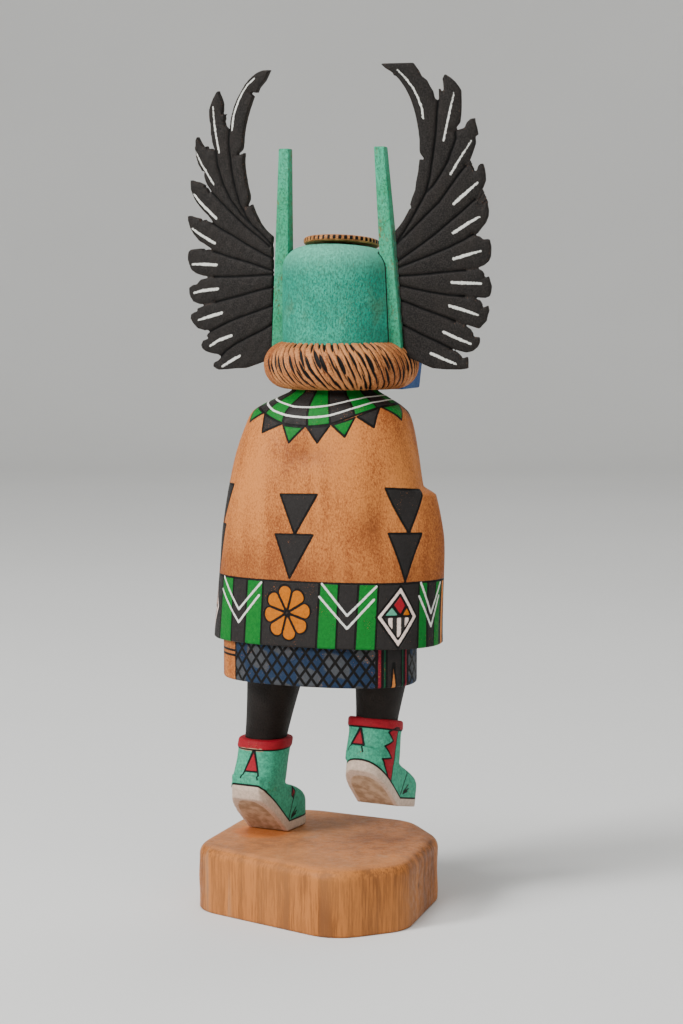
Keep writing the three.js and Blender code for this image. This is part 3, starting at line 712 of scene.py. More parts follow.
class BuildCape(bpy.types.Operator):
    """Carve the cape with its painted collar, points and border"""

    bl_idname = "doll.build_cape"
    bl_label = "Build cape"

    def execute(self, context):
        sizes, colours = context.scene.doll_sizes, context.scene.doll_colours
        turns = turns_from_front(380)
        turns = turns + 0.36 * np.sin(turns + BACK)
        body_shares = np.linspace(CAPE_RINGS_LOW, SHOULDER_LOW, 182)
        shoulder_shares = np.linspace(SHOULDER_LOW, SHOULDER_HIGH, 62)[1:]
        shares = np.concatenate([body_shares, shoulder_shares, [0.765, 0.775, 0.79]])
        rings = np.array([cape_ring(share, turns, sizes) for share in shares])
        girth = girth_of(rings, turns)
        neck = int(np.argmin(np.abs(shares - NECK_SHARE)))
        down = way_down(rings, neck)
        z = rings[:, :, 2]
        centre = rings.mean(1, keepdims=True)
        out = rings - centre
        radius = np.linalg.norm(np.gradient(rings, turns, axis=1), axis=2)
        turn = np.degrees((np.broadcast_to(turns, z.shape) - BACK + math.pi) % TURN - math.pi)
        on_body = Painting(np.stack([girth.ravel(), z.ravel()], 1), sizes.line_width)
        border(on_body)
        for outline in CAPE_POINTS:
            on_body.shape("black", outline)
        on_shoulder = Painting(np.stack([girth.ravel(), down.ravel() - 0.5], 1), sizes.line_width)
        collar(on_shoulder, turn.ravel(), down.ravel(), radius.ravel())
        for name, outline in FLAPS:
            on_shoulder.shape(name, outline)
        for name, field in on_shoulder.fields.items():
            on_body.area(name, field)
        hollow = 0.35 * np.sin(girth / 13 + 1) * np.sin(z / 17) * smoothstep(z, 124, 140)
        hollow += sum(depth * spot(girth, z, *where) for depth, *where in CAPE_HOLLOWS)
        # Painted shade on the cape: the wood is darker lower down, towards the sides and in its hollows
        shade = 0.45 * smoothstep(z, 138, 122) + 0.3 * smoothstep(np.abs(girth - 4), 30, 52)
        shade += sum(strength * spot(girth, z, *where) for strength, *where in CAPE_PAINTED_SHADES)
        on_body.fields["shade"] = shade.ravel()
        slit = SLIT_DEPTH * np.exp(-(((rings[:, :, 0] - SLIT_X) / 0.6) ** 2)) * (out[:, :, 1] < 0)
        slit = slit * (shares < SLIT_TOP)[:, None]
        unit = out / np.maximum(np.linalg.norm(out, axis=2, keepdims=True), 1e-6)
        rings = rings - unit * hollow[:, :, None]
        rings[:, :, 1] += slit
        hem = [(0.0, 0.0), (0.97, 0.0), (0.99, 0.12)]
        low = rings[0]
        below = np.array([low.mean(0) + (low - low.mean(0)) * scale for scale, _ in hem])
        below[:, :, 2] = up(CAPE_LOW, sizes) + np.array([[rise] for _, rise in hem])
        top = np.broadcast_to(rings[-1].mean(0), (1, *rings[-1].shape))
        body = np.concatenate([below, rings, top])
        fields = {
            name: np.concatenate([np.repeat(sheet[:1], len(hem), 0), sheet, sheet[-1:]])
            for name, sheet in on_body.sheets(z.shape).items()
        }
        piece = wrapped("cape", body, fields)
        coats = [("black", colours.black, True), ("green", colours.green, True), ("pink", colours.pink, True),
                 ("night", colours.black, True), ("red", colours.red, True), ("orange", colours.orange, True),
                 ("turquoise", paint(84, 152, 126), True), ("bare", colours.wood, True)]
        over = [("pale", colours.pink), ("white", colours.white)]
        finish = carved_and_painted("cape_finish", colours, coats, over, shade="shade")
        belongs(piece, "figure", finish)
        return {"FINISHED"}


# The skirt: its middle, half width, half depth and squareness, and its stripes along the girth
SKIRT_MIDDLE, SKIRT_HALF, SKIRT_SQUARENESS = (6, 6.6), (36, 20), 2.3
SKIRT_STRIPES = [("red", 27.9, 29.7), ("green", 30, 31.4), ("black", 31.4, 37.3), ("green", 37.3, 38.6),
                 ("red", 38.9, 40.3)]
SKIRT_BARE, SKIRT_BAND = (-41.5, -27.4), (27.6, 40.6)
SKIRT_WEDGE = [(33.8, 94), (34.2, 94), (35.4, 84), (33, 84)]
# Heights of the two burnt lines on the bare panel, and the lattice's cells along the girth and in height
SKIRT_LINES = (94.2, 96)
MESH_WIDTH, MESH_HEIGHT = 4.35, 5.9


def skirt_ring(z, scale, turns):
    half_width, half_depth = (half * scale for half in SKIRT_HALF)
    return full_ring(*SKIRT_MIDDLE, z, half_width, half_depth, turns, SKIRT_SQUARENESS)


class BuildSkirt(bpy.types.Operator):
    """Carve the skirt under the cape with its lattice and striped band"""

    bl_idname = "doll.build_skirt"
    bl_label = "Build skirt"

    def execute(self, context):
        sizes, colours = context.scene.doll_sizes, context.scene.doll_colours
        turns = turns_from_front(420)
        steps = [(0.279, 0.0), (0.279, 0.965), (0.2795, 0.985), (0.281, 0.995)]
        steps += [(share, 1.0) for share in np.linspace(0.284, 0.36, 44)] + [(0.36, 0.0)]
        rings = np.array([skirt_ring(up(share, sizes), scale, turns) for share, scale in steps])
        side = skirt_ring(0, 1, turns)
        girth = np.broadcast_to(girth_of(side[None], turns), rings.shape[:2])
        s, z = girth.ravel(), rings[:, :, 2].ravel()
        painting = Painting(np.stack([s, z], 1), sizes.line_width)
        bare, band = outside(s, SKIRT_BARE), outside(s, SKIRT_BAND)
        netted = -np.minimum(bare, band)
        painting.area("cells", netted)
        painting.area("blue", np.maximum(netted, 0.9 * np.sin(s * 0.31 + 0.5) * np.sin(z * 0.37 + s * 0.12) - 0.1))
        for level in SKIRT_LINES:
            painting.area("burnt", np.maximum(np.abs(z - level) - 0.35, bare))
        for name, *span in SKIRT_STRIPES:
            painting.area(name, outside(s, span))
        painting.shape("bare", SKIRT_WEDGE)
        painting.fields["first_way"] = s / MESH_WIDTH + z / MESH_HEIGHT
        painting.fields["second_way"] = s / MESH_WIDTH - z / MESH_HEIGHT
        piece = wrapped("skirt", rings, painting.sheets(rings.shape[:2]))
        coats = [("cells", paint(62, 64, 68), True), ("blue", paint(26, 44, 68), False),
                 ("black", colours.black, True), ("green", paint(8, 64, 40), True), ("red", paint(122, 22, 40), True),
                 ("bare", colours.wood, True)]
        finish = carved_and_painted("skirt_finish", colours, coats, wear=0.32, lattice="cells")
        belongs(piece, "figure", finish)
        return {"FINISHED"}


# Eye slots: from the middle, down from the top of the mask, slant, and half length and half height
EYE_X, EYE_DROP, EYE_SLANT, EYE_HALF = 8.4, 17, 0.1, (2.7, 0.8)
# The mask's rounded shoulder, the rise of its top and its whole height
MASK_SHOULDER, MASK_DOME, MASK_HEIGHT = 8.2, 1.1, 46.8


class BuildMask(bpy.types.Operator):
    """Carve the case mask with its two eye slots"""

    bl_idname = "doll.build_mask"
    bl_label = "Build mask"

    def execute(self, context):
        sizes, colours = context.scene.doll_sizes, context.scene.doll_colours
        turns = turns_from_front(300)
        half_width, half_depth = sizes.mask_width / MM / 2, sizes.mask_depth / MM / 2
        crown_radius = sizes.crown_radius / MM
        top, shoulder, dome = mask_top(sizes), MASK_SHOULDER, MASK_DOME
        bottom = top - MASK_HEIGHT
        levels = [(z, 0.0) for z in np.linspace(bottom, top - dome - shoulder, 90)]
        levels += [(top - dome - shoulder * (1 - math.sin(t)), shoulder * (1 - math.cos(t)))
                   for t in np.linspace(0, BACK, 26)[1:]]
        rings = [full_ring(0, 0, z, half_width - inset, half_depth - inset, turns) for z, inset in levels]
        for k in range(1, 12):
            share = 1 - k / 12
            rings.append(full_ring(0, 0, top - dome * share**2, (half_width - shoulder) * share,
                                   (half_depth - shoulder) * share, turns))
        rings.append(full_ring(0, 0, top, 0, 0, turns))
        rings = np.array([full_ring(0, 0, bottom, 0, 0, turns), *rings])
        tilt = math.tan(CROWN_TILT) * smoothstep(rings[:, :, 2], bottom, top - 20)
        rings[:, :, 2] += (rings[:, :, 1] - crown_radius) * tilt
        x, y, z = rings[:, :, 0].ravel(), rings[:, :, 1].ravel(), rings[:, :, 2].ravel()
        painting = Painting(np.stack([x, z], 1), sizes.line_width)
        front = np.where(y < 0, 0.0, 50.0)
        slots = np.full(len(x), 50.0)
        for side in (-1, 1):
            along, across = turned(x - side * EYE_X, z - top + EYE_DROP, -side * EYE_SLANT)
            box = np.maximum(np.abs(along) - EYE_HALF[0], np.abs(across) - EYE_HALF[1])
            slots = np.minimum(slots, box + front)
        painting.area("burnt", slots - 0.1)
        triangle = outline_distance(painting.points, [(-9, top - 24), (9, top - 24), (0, top - 37)])
        painting.area("white", triangle + front - 1.0)
        painting.area("black", triangle + front)
        # Painted shade: a thin dark line on the mask beside each post, in the crease where the post stands against it
        for side in (-1, 1):
            _, knee, head = post_levels(side, sizes)
            share = np.clip((z - knee[2]) / (head[2] - knee[2]), 0, 1)
            px, py, _, half_x, half_y = [a + (b - a) * share for a, b in zip(knee, head)]
            gap = np.maximum(np.abs(x - px) - half_x, np.abs(y - py) - half_y)
            painting.area("line", gap - 0.55)
        rings[:, :, 1] += (1.1 * smoothstep(-slots, -0.2, 0.6)).reshape(rings.shape[:2])
        piece = wrapped("mask", rings, painting.sheets(rings.shape[:2]))
        finish, body = rubbed_paint("mask_finish", colours.turquoise, paint(36, 168, 140), paint(140, 96, 52), 0.43)
        # Painted light: the mask turns paler towards its top, where the light falls
        painted_top_light = finish.step(finish.height(), (top - 14) * MM, top * MM, 0.0, 0.55)
        body = finish.mix(painted_top_light, body, paint(120, 206, 176))
        stains = finish.step(finish.noise(75, (1, 1, 0.7), 4, 0.6), 0.56, 0.7, 0.0, 0.3)
        body = finish.mix(stains, body, paint(96, 112, 74))
        # The line beside the posts is painted shade
        for field, paint_colour in (("white", colours.white), ("black", colours.black), ("burnt", paint(16, 14, 12)),
                                    ("line", paint(26, 22, 20))):
            body = finish.coat(body, paint_colour, finish.within(field), 0.28)
        belongs(piece, "figure", finish.done(body, 0.24))
        return {"FINISHED"}


# Rows of cuts on the ruff: turn of the roll where they start and end, slant in degrees, half width and offset
RUFF_CUTS = 62
RUFF_ROWS = [(90, 42, 3, 0.5, 0.0), (64, 20, 5, 0.34, 0.5), (40, -14, 7, 0.74, 0.2), (14, -38, 8, 0.58, 0.7),
             (-10, -58, 7, 0.5, 0.3), (-34, -76, 5, 0.46, 0.8), (-54, -90, 4, 0.42, 0.4), (28, -24, 7, 0.26, 0.95),
             (152, 96, 0, 0.4, 0.2), (205, 152, 3, 0.4, 0.4)]


class BuildRuff(bpy.types.Operator):
    """Carve the rolled ruff with its slanted black cuts"""

    bl_idname = "doll.build_ruff"
    bl_label = "Build ruff"

    def execute(self, context):
        sizes, colours = context.scene.doll_sizes, context.scene.doll_colours
        around, across = 720, 120
        turn = turns_from_front(around)[:, None]
        roll = (np.arange(across + 1) / across * TURN)[None, :]
        tube = sizes.ruff_tube / MM
        middle = sizes.ruff_radius / MM - tube
        level = ruff_level(sizes)
        cut = np.full((around, across + 1), 9.0)
        random = np.random.default_rng(7)
        rolled = np.degrees(roll) % 360
        for upper, lower, slant, widest, offset_share in RUFF_ROWS:
            width = random.uniform(0.4, 1.2, RUFF_CUTS) * widest
            shift = random.uniform(-0.22, 0.22, RUFF_CUTS) + offset_share
            reach = random.uniform(-16, 16, RUFF_CUTS)
            down = (upper - (rolled - 360 * (rolled > upper + 120))) / (upper - lower)
            position = (turn - BACK) - math.radians(slant) * (down - 0.5)
            nearest = position / TURN * RUFF_CUTS
            for offset in (-1, 0, 1):
                k = np.round(nearest).astype(int) + offset
                j = k % RUFF_CUTS
                side = (nearest - k - shift[j]) * TURN / RUFF_CUTS * (middle + tube * np.cos(roll))
                length_share = down + reach[j] / 90
                taper = np.clip(1 - np.abs(2 * length_share - 1.08) ** 2.6, -0.6, 1)
                cut = np.minimum(cut, np.abs(side) - width[j] * taper)
        depth = 0.7 * smoothstep(-cut, -0.35, 0.4)
        radius = middle + (tube - depth) * np.cos(roll)
        height = level + (tube - depth) * np.sin(roll)
        rings = np.stack([radius * np.cos(turn), radius * np.sin(turn), height], -1)
        piece = wrapped("ruff", rings.transpose(1, 0, 2), {"cuts": cut.T})
        finish = Finish("ruff_finish", 0.55)
        body = finish.wood(paint(214, 146, 90), paint(142, 78, 40), (1, 1, 0.8))
        dark = finish.step(finish.field("cuts"), -0.16, 0.1, 1.0, 0.0)
        smudge = finish.step(finish.field("cuts"), -0.1, 0.9, 0.35, 0.0)
        body = finish.mix(smudge, body, paint(112, 56, 24))
        body = finish.coat(body, colours.burnt, dark, 0.2)
        belongs(piece, "figure", finish.done(body, 0.12))
        return {"FINISHED"}


class BuildChin(bpy.types.Operator):
    """Shape the blue block at the front of the ruff"""

    bl_idname = "doll.build_chin"
    bl_label = "Build chin block"

    def execute(self, context):
        sizes, colours = context.scene.doll_sizes, context.scene.doll_colours
        level = ruff_level(sizes)
        low, high = level - sizes.ruff_tube / MM - 0.4, level - sizes.ruff_tube / MM + 15.1
        piece = start("chin_block", bpy.ops.mesh.primitive_cube_add, size=2)
        corners = places(piece)
        spread = np.where(corners[:, 2] > 0, 1.3, 0.0)
        x = np.sign(corners[:, 0]) * (20.6 + spread)
        y = np.where(corners[:, 1] < 0, -29.2 - spread, -8)
        z = np.where(corners[:, 2] > 0, high, low)
        place(piece, np.stack([x, y, z], 1) * MM)
        bpy.ops.object.mode_set(mode="EDIT")
        bpy.ops.mesh.select_all(action="DESELECT")
        bpy.ops.object.mode_set(mode="OBJECT")
        for edge in piece.data.edges:
            a, b = (piece.data.vertices[i].co for i in edge.vertices)
            edge.select = abs(a.z - b.z) > 5 * MM and a.y < -20 * MM
        bpy.ops.object.mode_set(mode="EDIT")
        bpy.ops.mesh.select_mode(type="EDGE")
        bpy.ops.mesh.bevel(offset=2.6 * MM, segments=6)
        bpy.ops.object.mode_set(mode="OBJECT")
        rounded(0.4, 3)
        finish, body = rubbed_paint("chin_finish", colours.blue, paint(30, 92, 150), paint(150, 112, 80), 0.3)
        belongs(piece, "figure", finish.done(body, 0.12))
        return {"FINISHED"}


# Rim of the crown: how far in from the radius, and height
CROWN_RIM = [(1.2, 0), (0.5, 0.05), (0.15, 0.3), (0, 0.7), (0, 1.0), (0, 1.3), (0.05, 1.6), (0.3, 2.0), (0.7, 2.2),
             (1.3, 2.3), (3, 2.3)]
CROWN_DASHES = 42


class BuildCrown(bpy.types.Operator):
    """Turn the thin disc on top of the mask, with its black dashes"""

    bl_idname = "doll.build_crown"
    bl_label = "Build crown"

    def execute(self, context):
        sizes, colours = context.scene.doll_sizes, context.scene.doll_colours
        turns = turns_from_front(360)
        radius, thick = sizes.crown_radius / MM, CROWN_RIM[-1][1]
        profile = [(0, 0), *((radius - inset, z) for inset, z in CROWN_RIM), (radius * 0.5, thick), (0, thick)]
        rings = np.array([full_ring(0, 0, z, r, r, turns) for r, z in profile])
        phase = (turns - BACK) / TURN * CROWN_DASHES
        broad = 0.34 + 0.26 * smoothstep(-np.cos(turns), -0.6, 0.4)
        across = np.abs(phase - np.round(phase)) * TURN / CROWN_DASHES * radius - broad
        height = np.array([z for _, z in profile])[:, None]
        out = np.array([r for r, _ in profile])[:, None]
        band = np.maximum(np.abs(height - 1.25) - 0.75, radius - 1.0 - out)
        marks = np.maximum(across[None, :], band)
        rings[:, :, 1], rings[:, :, 2] = turned(rings[:, :, 1], rings[:, :, 2], CROWN_TILT)
        rings[:, :, 2] += up(1, sizes) - radius * math.tan(CROWN_TILT)
        piece = wrapped("crown_disc", rings, {"dashes": marks}, 50)
        finish = Finish("crown_finish", 0.55)
        body = finish.wood(paint(214, 152, 92), paint(132, 80, 44), (0.3, 1, 1))
        body = finish.coat(body, colours.burnt, finish.within("dashes", 0.15), 0.3)
        belongs(piece, "crown", finish.done(body, 0.12))
        return {"FINISHED"}


# Width, depth and outer face of a post, at its foot and at its top
POST_FOOT, POST_TOP = (6.4, 6.6, 24.7), (3.9, 3.9, 19.8)


def post_levels(side, sizes):
    """Middle, half width and half depth of a post at its foot, at the ruff and at its top."""
    lean = math.tan(POST_LEAN)
    height = sizes.post_height / MM
    tube = sizes.ruff_tube / MM / 2
    bottom = ruff_level(sizes) + tube
    levels = []
    for t in (0.0, tube / (height + tube), 1.0):
        above = max(0.0, (t * (height + tube) - tube) / height)
        width, depth, outside = (a + (b - a) * above for a, b in zip(POST_FOOT, POST_TOP))
        levels.append((side * (outside - width / 2), 2.7 + lean * t * (height + tube), bottom + t * (height + tube),
                       width / 2, depth / 2))
    return levels


class BuildPosts(bpy.types.Operator):
    """Shape the two tapering turquoise posts"""

    bl_idname = "doll.build_posts"
    bl_label = "Build posts"

    def execute(self, context):
        sizes = context.scene.doll_sizes
        finish, body = rubbed_paint("post_finish", paint(30, 156, 112), paint(52, 172, 134), paint(140, 106, 60), 0.5,
                                    (1, 1, 0.4))
        material = finish.done(body, 0.16)
        for name, side in (("left", 1), ("right", -1)):
            piece = start("turquoise_post_" + name, bpy.ops.mesh.primitive_cube_add, size=2)
            foot, _, top = post_levels(side, sizes)
            corners = places(piece)
            share = (corners[:, 2:] + 1) / 2
            x, y, z, half_width, half_depth = ((np.array(foot) * (1 - share)) + np.array(top) * share).T
            place(piece, np.stack([x + corners[:, 0] * half_width, y + corners[:, 1] * half_depth, z], 1) * MM)
            rounded(0.45, 4)
            belongs(piece, "post_" + name, material)
        return {"FINISHED"}


# Wings in their own plane: out from the root and up, as the outline, the grooves and the painted shafts run
WINGS = {
    "left": {
        "outline": [
            (-1.8, 42.2), (-0.7, 43.1), (1.2, 44.7), (3.1, 47.2), (4.9, 50.8), (6.2, 53.8), (5.1, 54.4),
            (8.5, 52.4), (7, 55.4), (6.9, 56.8), (7.7, 60.4), (8.4, 64.7), (8.7, 68.9), (8.3, 72.2),
            (12.7, 70.6), (9.3, 73.2), (8.9, 74.6), (8.6, 77.4), (7.9, 80.9), (6.9, 84.4), (5.9, 87.2),
            (4.7, 89.9), (3.8, 91.9), (6.2, 93.6), (2.3, 93), (1.5, 94.7), (-1, 97.1), (-3.1, 100.7),
            (-3, 100.8), (-0.2, 100.8), (2.2, 100), (4.7, 98.3), (6.9, 96.3), (8.6, 93.9), (10.3, 91.5),
            (11.7, 88.7), (12.7, 85.9), (13.2, 84.2), (13.6, 82.1), (13.9, 80.2), (15.7, 81.8), (16.1, 83.6),
            (15.6, 84.5), (16, 85.3), (15, 86.3), (17, 85.5), (16.5, 87.4), (16.3, 89.6), (16.8, 91.3),
            (17.8, 93.5), (17.8, 94.4), (18.8, 93.8), (20.1, 91.8), (21.2, 89.7), (22, 87.6), (22, 85.5),
            (21.6, 81.9), (21.4, 78.4), (21, 75.5), (20.3, 73.7), (20.4, 73), (21.7, 74.1), (23.3, 73.8),
            (23.5, 75.2), (24.7, 74.3), (26.1, 76.3), (27.1, 78.1), (27.3, 78.6), (27.9, 77.4), (28.3, 74.2),
            (28, 71.4), (27.2, 68.5), (25.8, 66.2), (24.7, 65.8), (25.1, 64.5), (24.6, 62.8), (23.5, 60.6),
            (22.3, 58.8), (23.1, 58), (24.2, 59.9), (25.5, 60.5), (25, 61), (27.3, 62.1), (29.2, 62.5),
            (30.6, 63), (30.9, 61.8), (30.6, 59.2), (29.5, 56.4), (28, 54.2), (26, 52), (24, 50.2),
            (22.6, 48.4), (22, 47.2), (25, 48.1), (25.6, 48.8), (26.9, 48), (27.6, 49.1), (30.3, 49.7),
            (32.3, 50.3), (32.4, 48.5), (31.8, 45.9), (30.2, 43.4), (28.3, 41.2), (25.8, 39.8), (23.4, 38.3),
            (22.3, 37.1), (24.9, 38), (26.4, 37.4), (26.8, 38.2), (28.4, 38.3), (31.8, 38), (32.9, 37.2),
            (33.2, 34.7), (32.7, 32.5), (31.9, 30.7), (29.8, 29.2), (26.9, 28.4), (22.3, 28.3), (22.1, 27.8),
            (25.7, 27.6), (28.2, 27.1), (29.5, 25.8), (29.2, 25.5), (31.7, 25.1), (33.2, 24.1), (33.2, 22.7),
            (32.8, 20.9), (31.6, 19), (28.7, 18), (26.2, 18.4), (22.5, 19.2), (22.3, 18.7), (25.8, 18),
            (28.3, 17.2), (30.2, 16.5), (29.9, 15.5), (31.4, 15.2), (32.9, 14.3), (33, 12.8), (32, 11),
            (30.1, 9.2), (27.2, 8.5), (26, 8.7), (25.5, 7.9), (26.3, 7.3), (26.6, 6.4), (25.8, 5.6),
            (28.2, 4.8), (29, 3.3), (28.8, 1.9), (27.2, 0.8), (24.7, 0.1), (22.2, -0.2), (21.3, -0.9),
            (22, -2.3), (24, -3.2), (24.4, -4.7), (23.3, -5.4), (22.1, -5.9), (18.9, -5.7), (14.7, -5.3),
            (10.7, -5.1), (6.9, -3.9), (2.6, -2.4), (-0.6, -1.2),
        ],
        "grooves": [
            [(14, 80.3), (14.3, 75.4), (13.9, 69.7), (13.2, 64), (12.2, 59), (10.7, 54), (8.4, 49.7), (6.2, 46.5),
             (2.7, 43.6), (-2, 39)],
            [(19.8, 73), (19.1, 67.7), (17.2, 61.2), (14.3, 55.5), (10.1, 50.1), (6.6, 46.9)],
            [(21.7, 58.1), (18.8, 55.2), (14.9, 51.6), (11, 48), (8.2, 45.6), (3.1, 41.9), (-0.7, 38.7)],
            [(22.2, 47.2), (18.5, 45.1), (13.7, 42.6), (8.2, 39.4), (2.6, 36.5), (-1.7, 34.4)],
            [(22.4, 37.1), (19, 36.2), (14.1, 34.7), (8.5, 33.3), (2.9, 31.5), (-1.5, 30.1)],
            [(22.3, 28), (15.3, 28), (7.1, 28.3), (-1.5, 28.7)],
            [(22.3, 18.8), (17.4, 19.9), (11.5, 21.2), (4.9, 22.9), (-1.3, 24.2)],
            [(25.7, 7.9), (22.1, 9.4), (17.8, 11.4), (12.8, 13.2), (6.1, 15.3), (-0.9, 17.5)],
            [(21.6, -1.5), (18.4, 1.3), (14.1, 3.9), (8.2, 6.6), (2.3, 9.2), (-1, 11.1)],
        ],
        "shafts": [
            [(2.7, 98.1), (5.3, 96.2), (7.4, 93.9), (9.1, 91.1), (10.7, 88), (11.9, 84.5), (12.6, 80.3)],
            [(19.9, 88.8), (19.7, 84), (19.3, 79.7), (18.7, 76.2), (18.2, 72.5)],
            [(27.6, 72.8), (25.9, 69.2), (23.6, 65.6), (20.9, 61.3)],
            [(29.2, 58), (26.7, 54.9), (23.9, 52.4), (20.4, 49.1)],
            [(30.5, 45.6), (27.7, 43.7), (24.5, 41.9), (21.4, 40.2)],
            [(31, 32.7), (27.5, 32.7), (21, 32.4)],
            [(30.7, 22.3), (27.2, 23.1), (20.7, 23.7)],
            [(29.3, 12.3), (26.1, 13.3), (19.6, 15)],
            [(25, 2.9), (21.5, 4.9), (15.9, 6.8)],
            [(20.5, -4.7), (16.9, -2.7), (12.7, -0.6)],
        ],
    },
    "right": {
        "outline": [
            (-2.9, 43.2), (-2.9, 43.4), (-2.9, 43.9), (-1.3, 45.6), (0.2, 47.6), (1.6, 50), (2.4, 51.4),
            (3.2, 51.6), (2.7, 53), (3.4, 55.2), (4.6, 57.9), (5, 60.7), (5.8, 64.1), (6.2, 66.9), (6.4, 68.6),
            (8.5, 68.1), (6.7, 70.6), (6.5, 71.7), (6.6, 75.1), (6.3, 78.5), (5.7, 82.3), (5, 85.4),
            (3.7, 89.5), (2, 93), (0.1, 95.8), (-1.3, 97.3), (-2, 97.2), (-2.1, 98.1), (-3.2, 98.9), (-5, 100),
            (-6.7, 101.6), (-6, 101.6), (-3.2, 101.6), (0.4, 101.6), (4.9, 101.6), (5.5, 100.7), (6.8, 98.9),
            (7.7, 97), (8.6, 96.3), (9.6, 95.5), (10.6, 93.4), (11.7, 91.7), (12.2, 89.3), (13.6, 88.4),
            (13.8, 89.2), (13.8, 92.3), (14.5, 92.8), (13.6, 92.5), (15.6, 91.1), (15.4, 94.6), (15.2, 96),
            (16.1, 97.6), (16.1, 97.4), (18, 96.2), (19.5, 94.8), (20.8, 93.1), (21.6, 91.7), (21.6, 87.6),
            (21.4, 83.6), (21, 80.9), (19.6, 79.2), (18.1, 77.9), (21.2, 78.7), (22.6, 79.1), (23.3, 80.8),
            (24.7, 82.1), (26.3, 82.3), (26.3, 81.1), (26.9, 79), (27.3, 76.6), (26.2, 76), (26.4, 73.9),
            (25.5, 71.2), (24.4, 68.5), (23.5, 67.2), (21.6, 66.1), (24.1, 66.2), (23.8, 65.6), (24.3, 65.2),
            (25.2, 63.6), (26.6, 64.3), (27.1, 66), (28, 66.8), (28.8, 66.7), (29.3, 65), (29.6, 62.9),
            (29.6, 60.9), (28.8, 58.8), (27.1, 55.8), (26.4, 55.1), (24.7, 54.5), (26, 54.4), (25.8, 52.8),
            (28, 51.6), (29.2, 52.8), (30.7, 53.6), (30, 53.3), (30.5, 50.6), (30.3, 48.5), (29.4, 46.4),
            (27.7, 44.4), (26.4, 42.7), (23.8, 42.5), (25.9, 41.9), (27, 41.7), (28.2, 40.6), (30.1, 40.8),
            (30.6, 40.4), (31.1, 38.1), (30.9, 34.7), (30.1, 33), (28.4, 31.6), (26.6, 30.9), (21.6, 30.2),
            (22, 29.9), (26.9, 30.2), (27.9, 29.5), (28.5, 28.5), (28.2, 27.2), (30.1, 27.9), (30.3, 26.7),
            (31, 24.3), (30.7, 22.2), (30.2, 20.8), (28.9, 20.3), (25.4, 20.5), (21.3, 21.1), (20.9, 20.7),
            (24.4, 20.2), (26.8, 19.4), (27.6, 18), (27.5, 16.8), (29.7, 17.7), (29.7, 17), (30, 15.9),
            (29.3, 13.8), (28.9, 12.1), (27.2, 10.4), (26.4, 9.5), (23.2, 10.5), (17.9, 12.4), (17.2, 12),
            (20.4, 11.1), (23.2, 9.3), (24.2, 7.6), (23.8, 6.7), (26.2, 6.5), (26.5, 5.8), (26.3, 4.4),
            (25.6, 3), (23.9, 1.6), (21.7, 1.1), (19.5, 1.6), (16.3, 2.6), (15.5, 2.2), (18.1, 1.3),
            (19.7, -0.2), (19.9, -1.1), (22, -0.3), (22.2, -1.9), (22.1, -3.3), (22.1, -4.5), (19.4, -4.9),
            (14.4, -4.9), (9.4, -4.5), (6.5, -3.3), (3.7, -1.9), (-0.6, -0.4),
        ],
        "grooves": [
            [(13.6, 88.6), (13.1, 83.8), (12.5, 77), (11.3, 69.5), (10, 62), (8.6, 57.2), (6.3, 53.1), (3, 47.6),
             (0.1, 43.1), (-3.6, 38.3)],
            [(19.4, 77.8), (19.6, 75.4), (18.3, 72.1), (16.4, 67.3), (13.9, 63.3), (11, 59.2), (8.6, 57)],
            [(22.8, 66), (20.3, 63.1), (16.7, 58.4), (13.1, 53.6), (9.5, 50.3), (5.9, 46.9), (0.8, 42.1),
             (-3.6, 38.3)],
            [(25.9, 54.5), (21.5, 50.7), (16.5, 46.7), (11.5, 42.6), (5.7, 38.5), (-0.8, 34.1), (-3, 32.9)],
            [(25, 42.5), (21.4, 40.4), (16.4, 38), (10.7, 35.7), (4.2, 33.3), (-2.3, 30.9)],
            [(22, 30), (16.3, 29.5), (9.2, 28.8), (2, 28.2), (-2.3, 28.1)],
            [(21.3, 20.9), (16.2, 21.3), (9.1, 22.4), (1.9, 23.9), (-2.2, 24.8)],
            [(17.9, 12.2), (12.5, 14.3), (7.5, 16.1), (1.8, 18.3), (-1.9, 19.6)],
            [(16.3, 2.4), (11.7, 4.8), (6.7, 7), (1.7, 9.5), (-1.6, 11.1)],
        ],
        "shafts": [
            [(-0.4, 99.2), (2.4, 96.4), (4.8, 93.2), (6.5, 89.8), (7.9, 86), (8.3, 82.6)],
            [(19.3, 91.1), (18.1, 86.4), (16.6, 80.3), (15.3, 74.9)],
            [(25, 74.6), (22.5, 70.9), (20, 67.2), (17.5, 63.3)],
            [(26.9, 60.2), (23.7, 57.6), (20.9, 55.2), (18.4, 53)],
            [(27.3, 48.5), (23.6, 46.5), (18, 43)],
            [(27.7, 36.7), (23.5, 35.6), (17.9, 34)],
            [(27.6, 25.4), (22.7, 25.6), (17.1, 25.8)],
            [(26.1, 14.4), (21.8, 16), (16.2, 17.6)],
            [(23.5, 4.3), (19.6, 5.8), (13.7, 8.5)],
            [(17.9, -2.8), (13.8, -1.2), (9.1, 0.9)],
        ],
    },
}


# Where a wing is fixed: out from the middle, back, and down from the mask's top; and how far it is swept forwards
WING_OUT, WING_BACK, WING_DROP = 25.65, 4.1, 40.3
WING_SWEEP = math.radians(6)
# Half widths of the painted shafts, and how many of the upper ones are narrow
SHAFT_NARROW, SHAFT_BROAD, NARROW_SHAFTS = 0.36, 0.52, 3


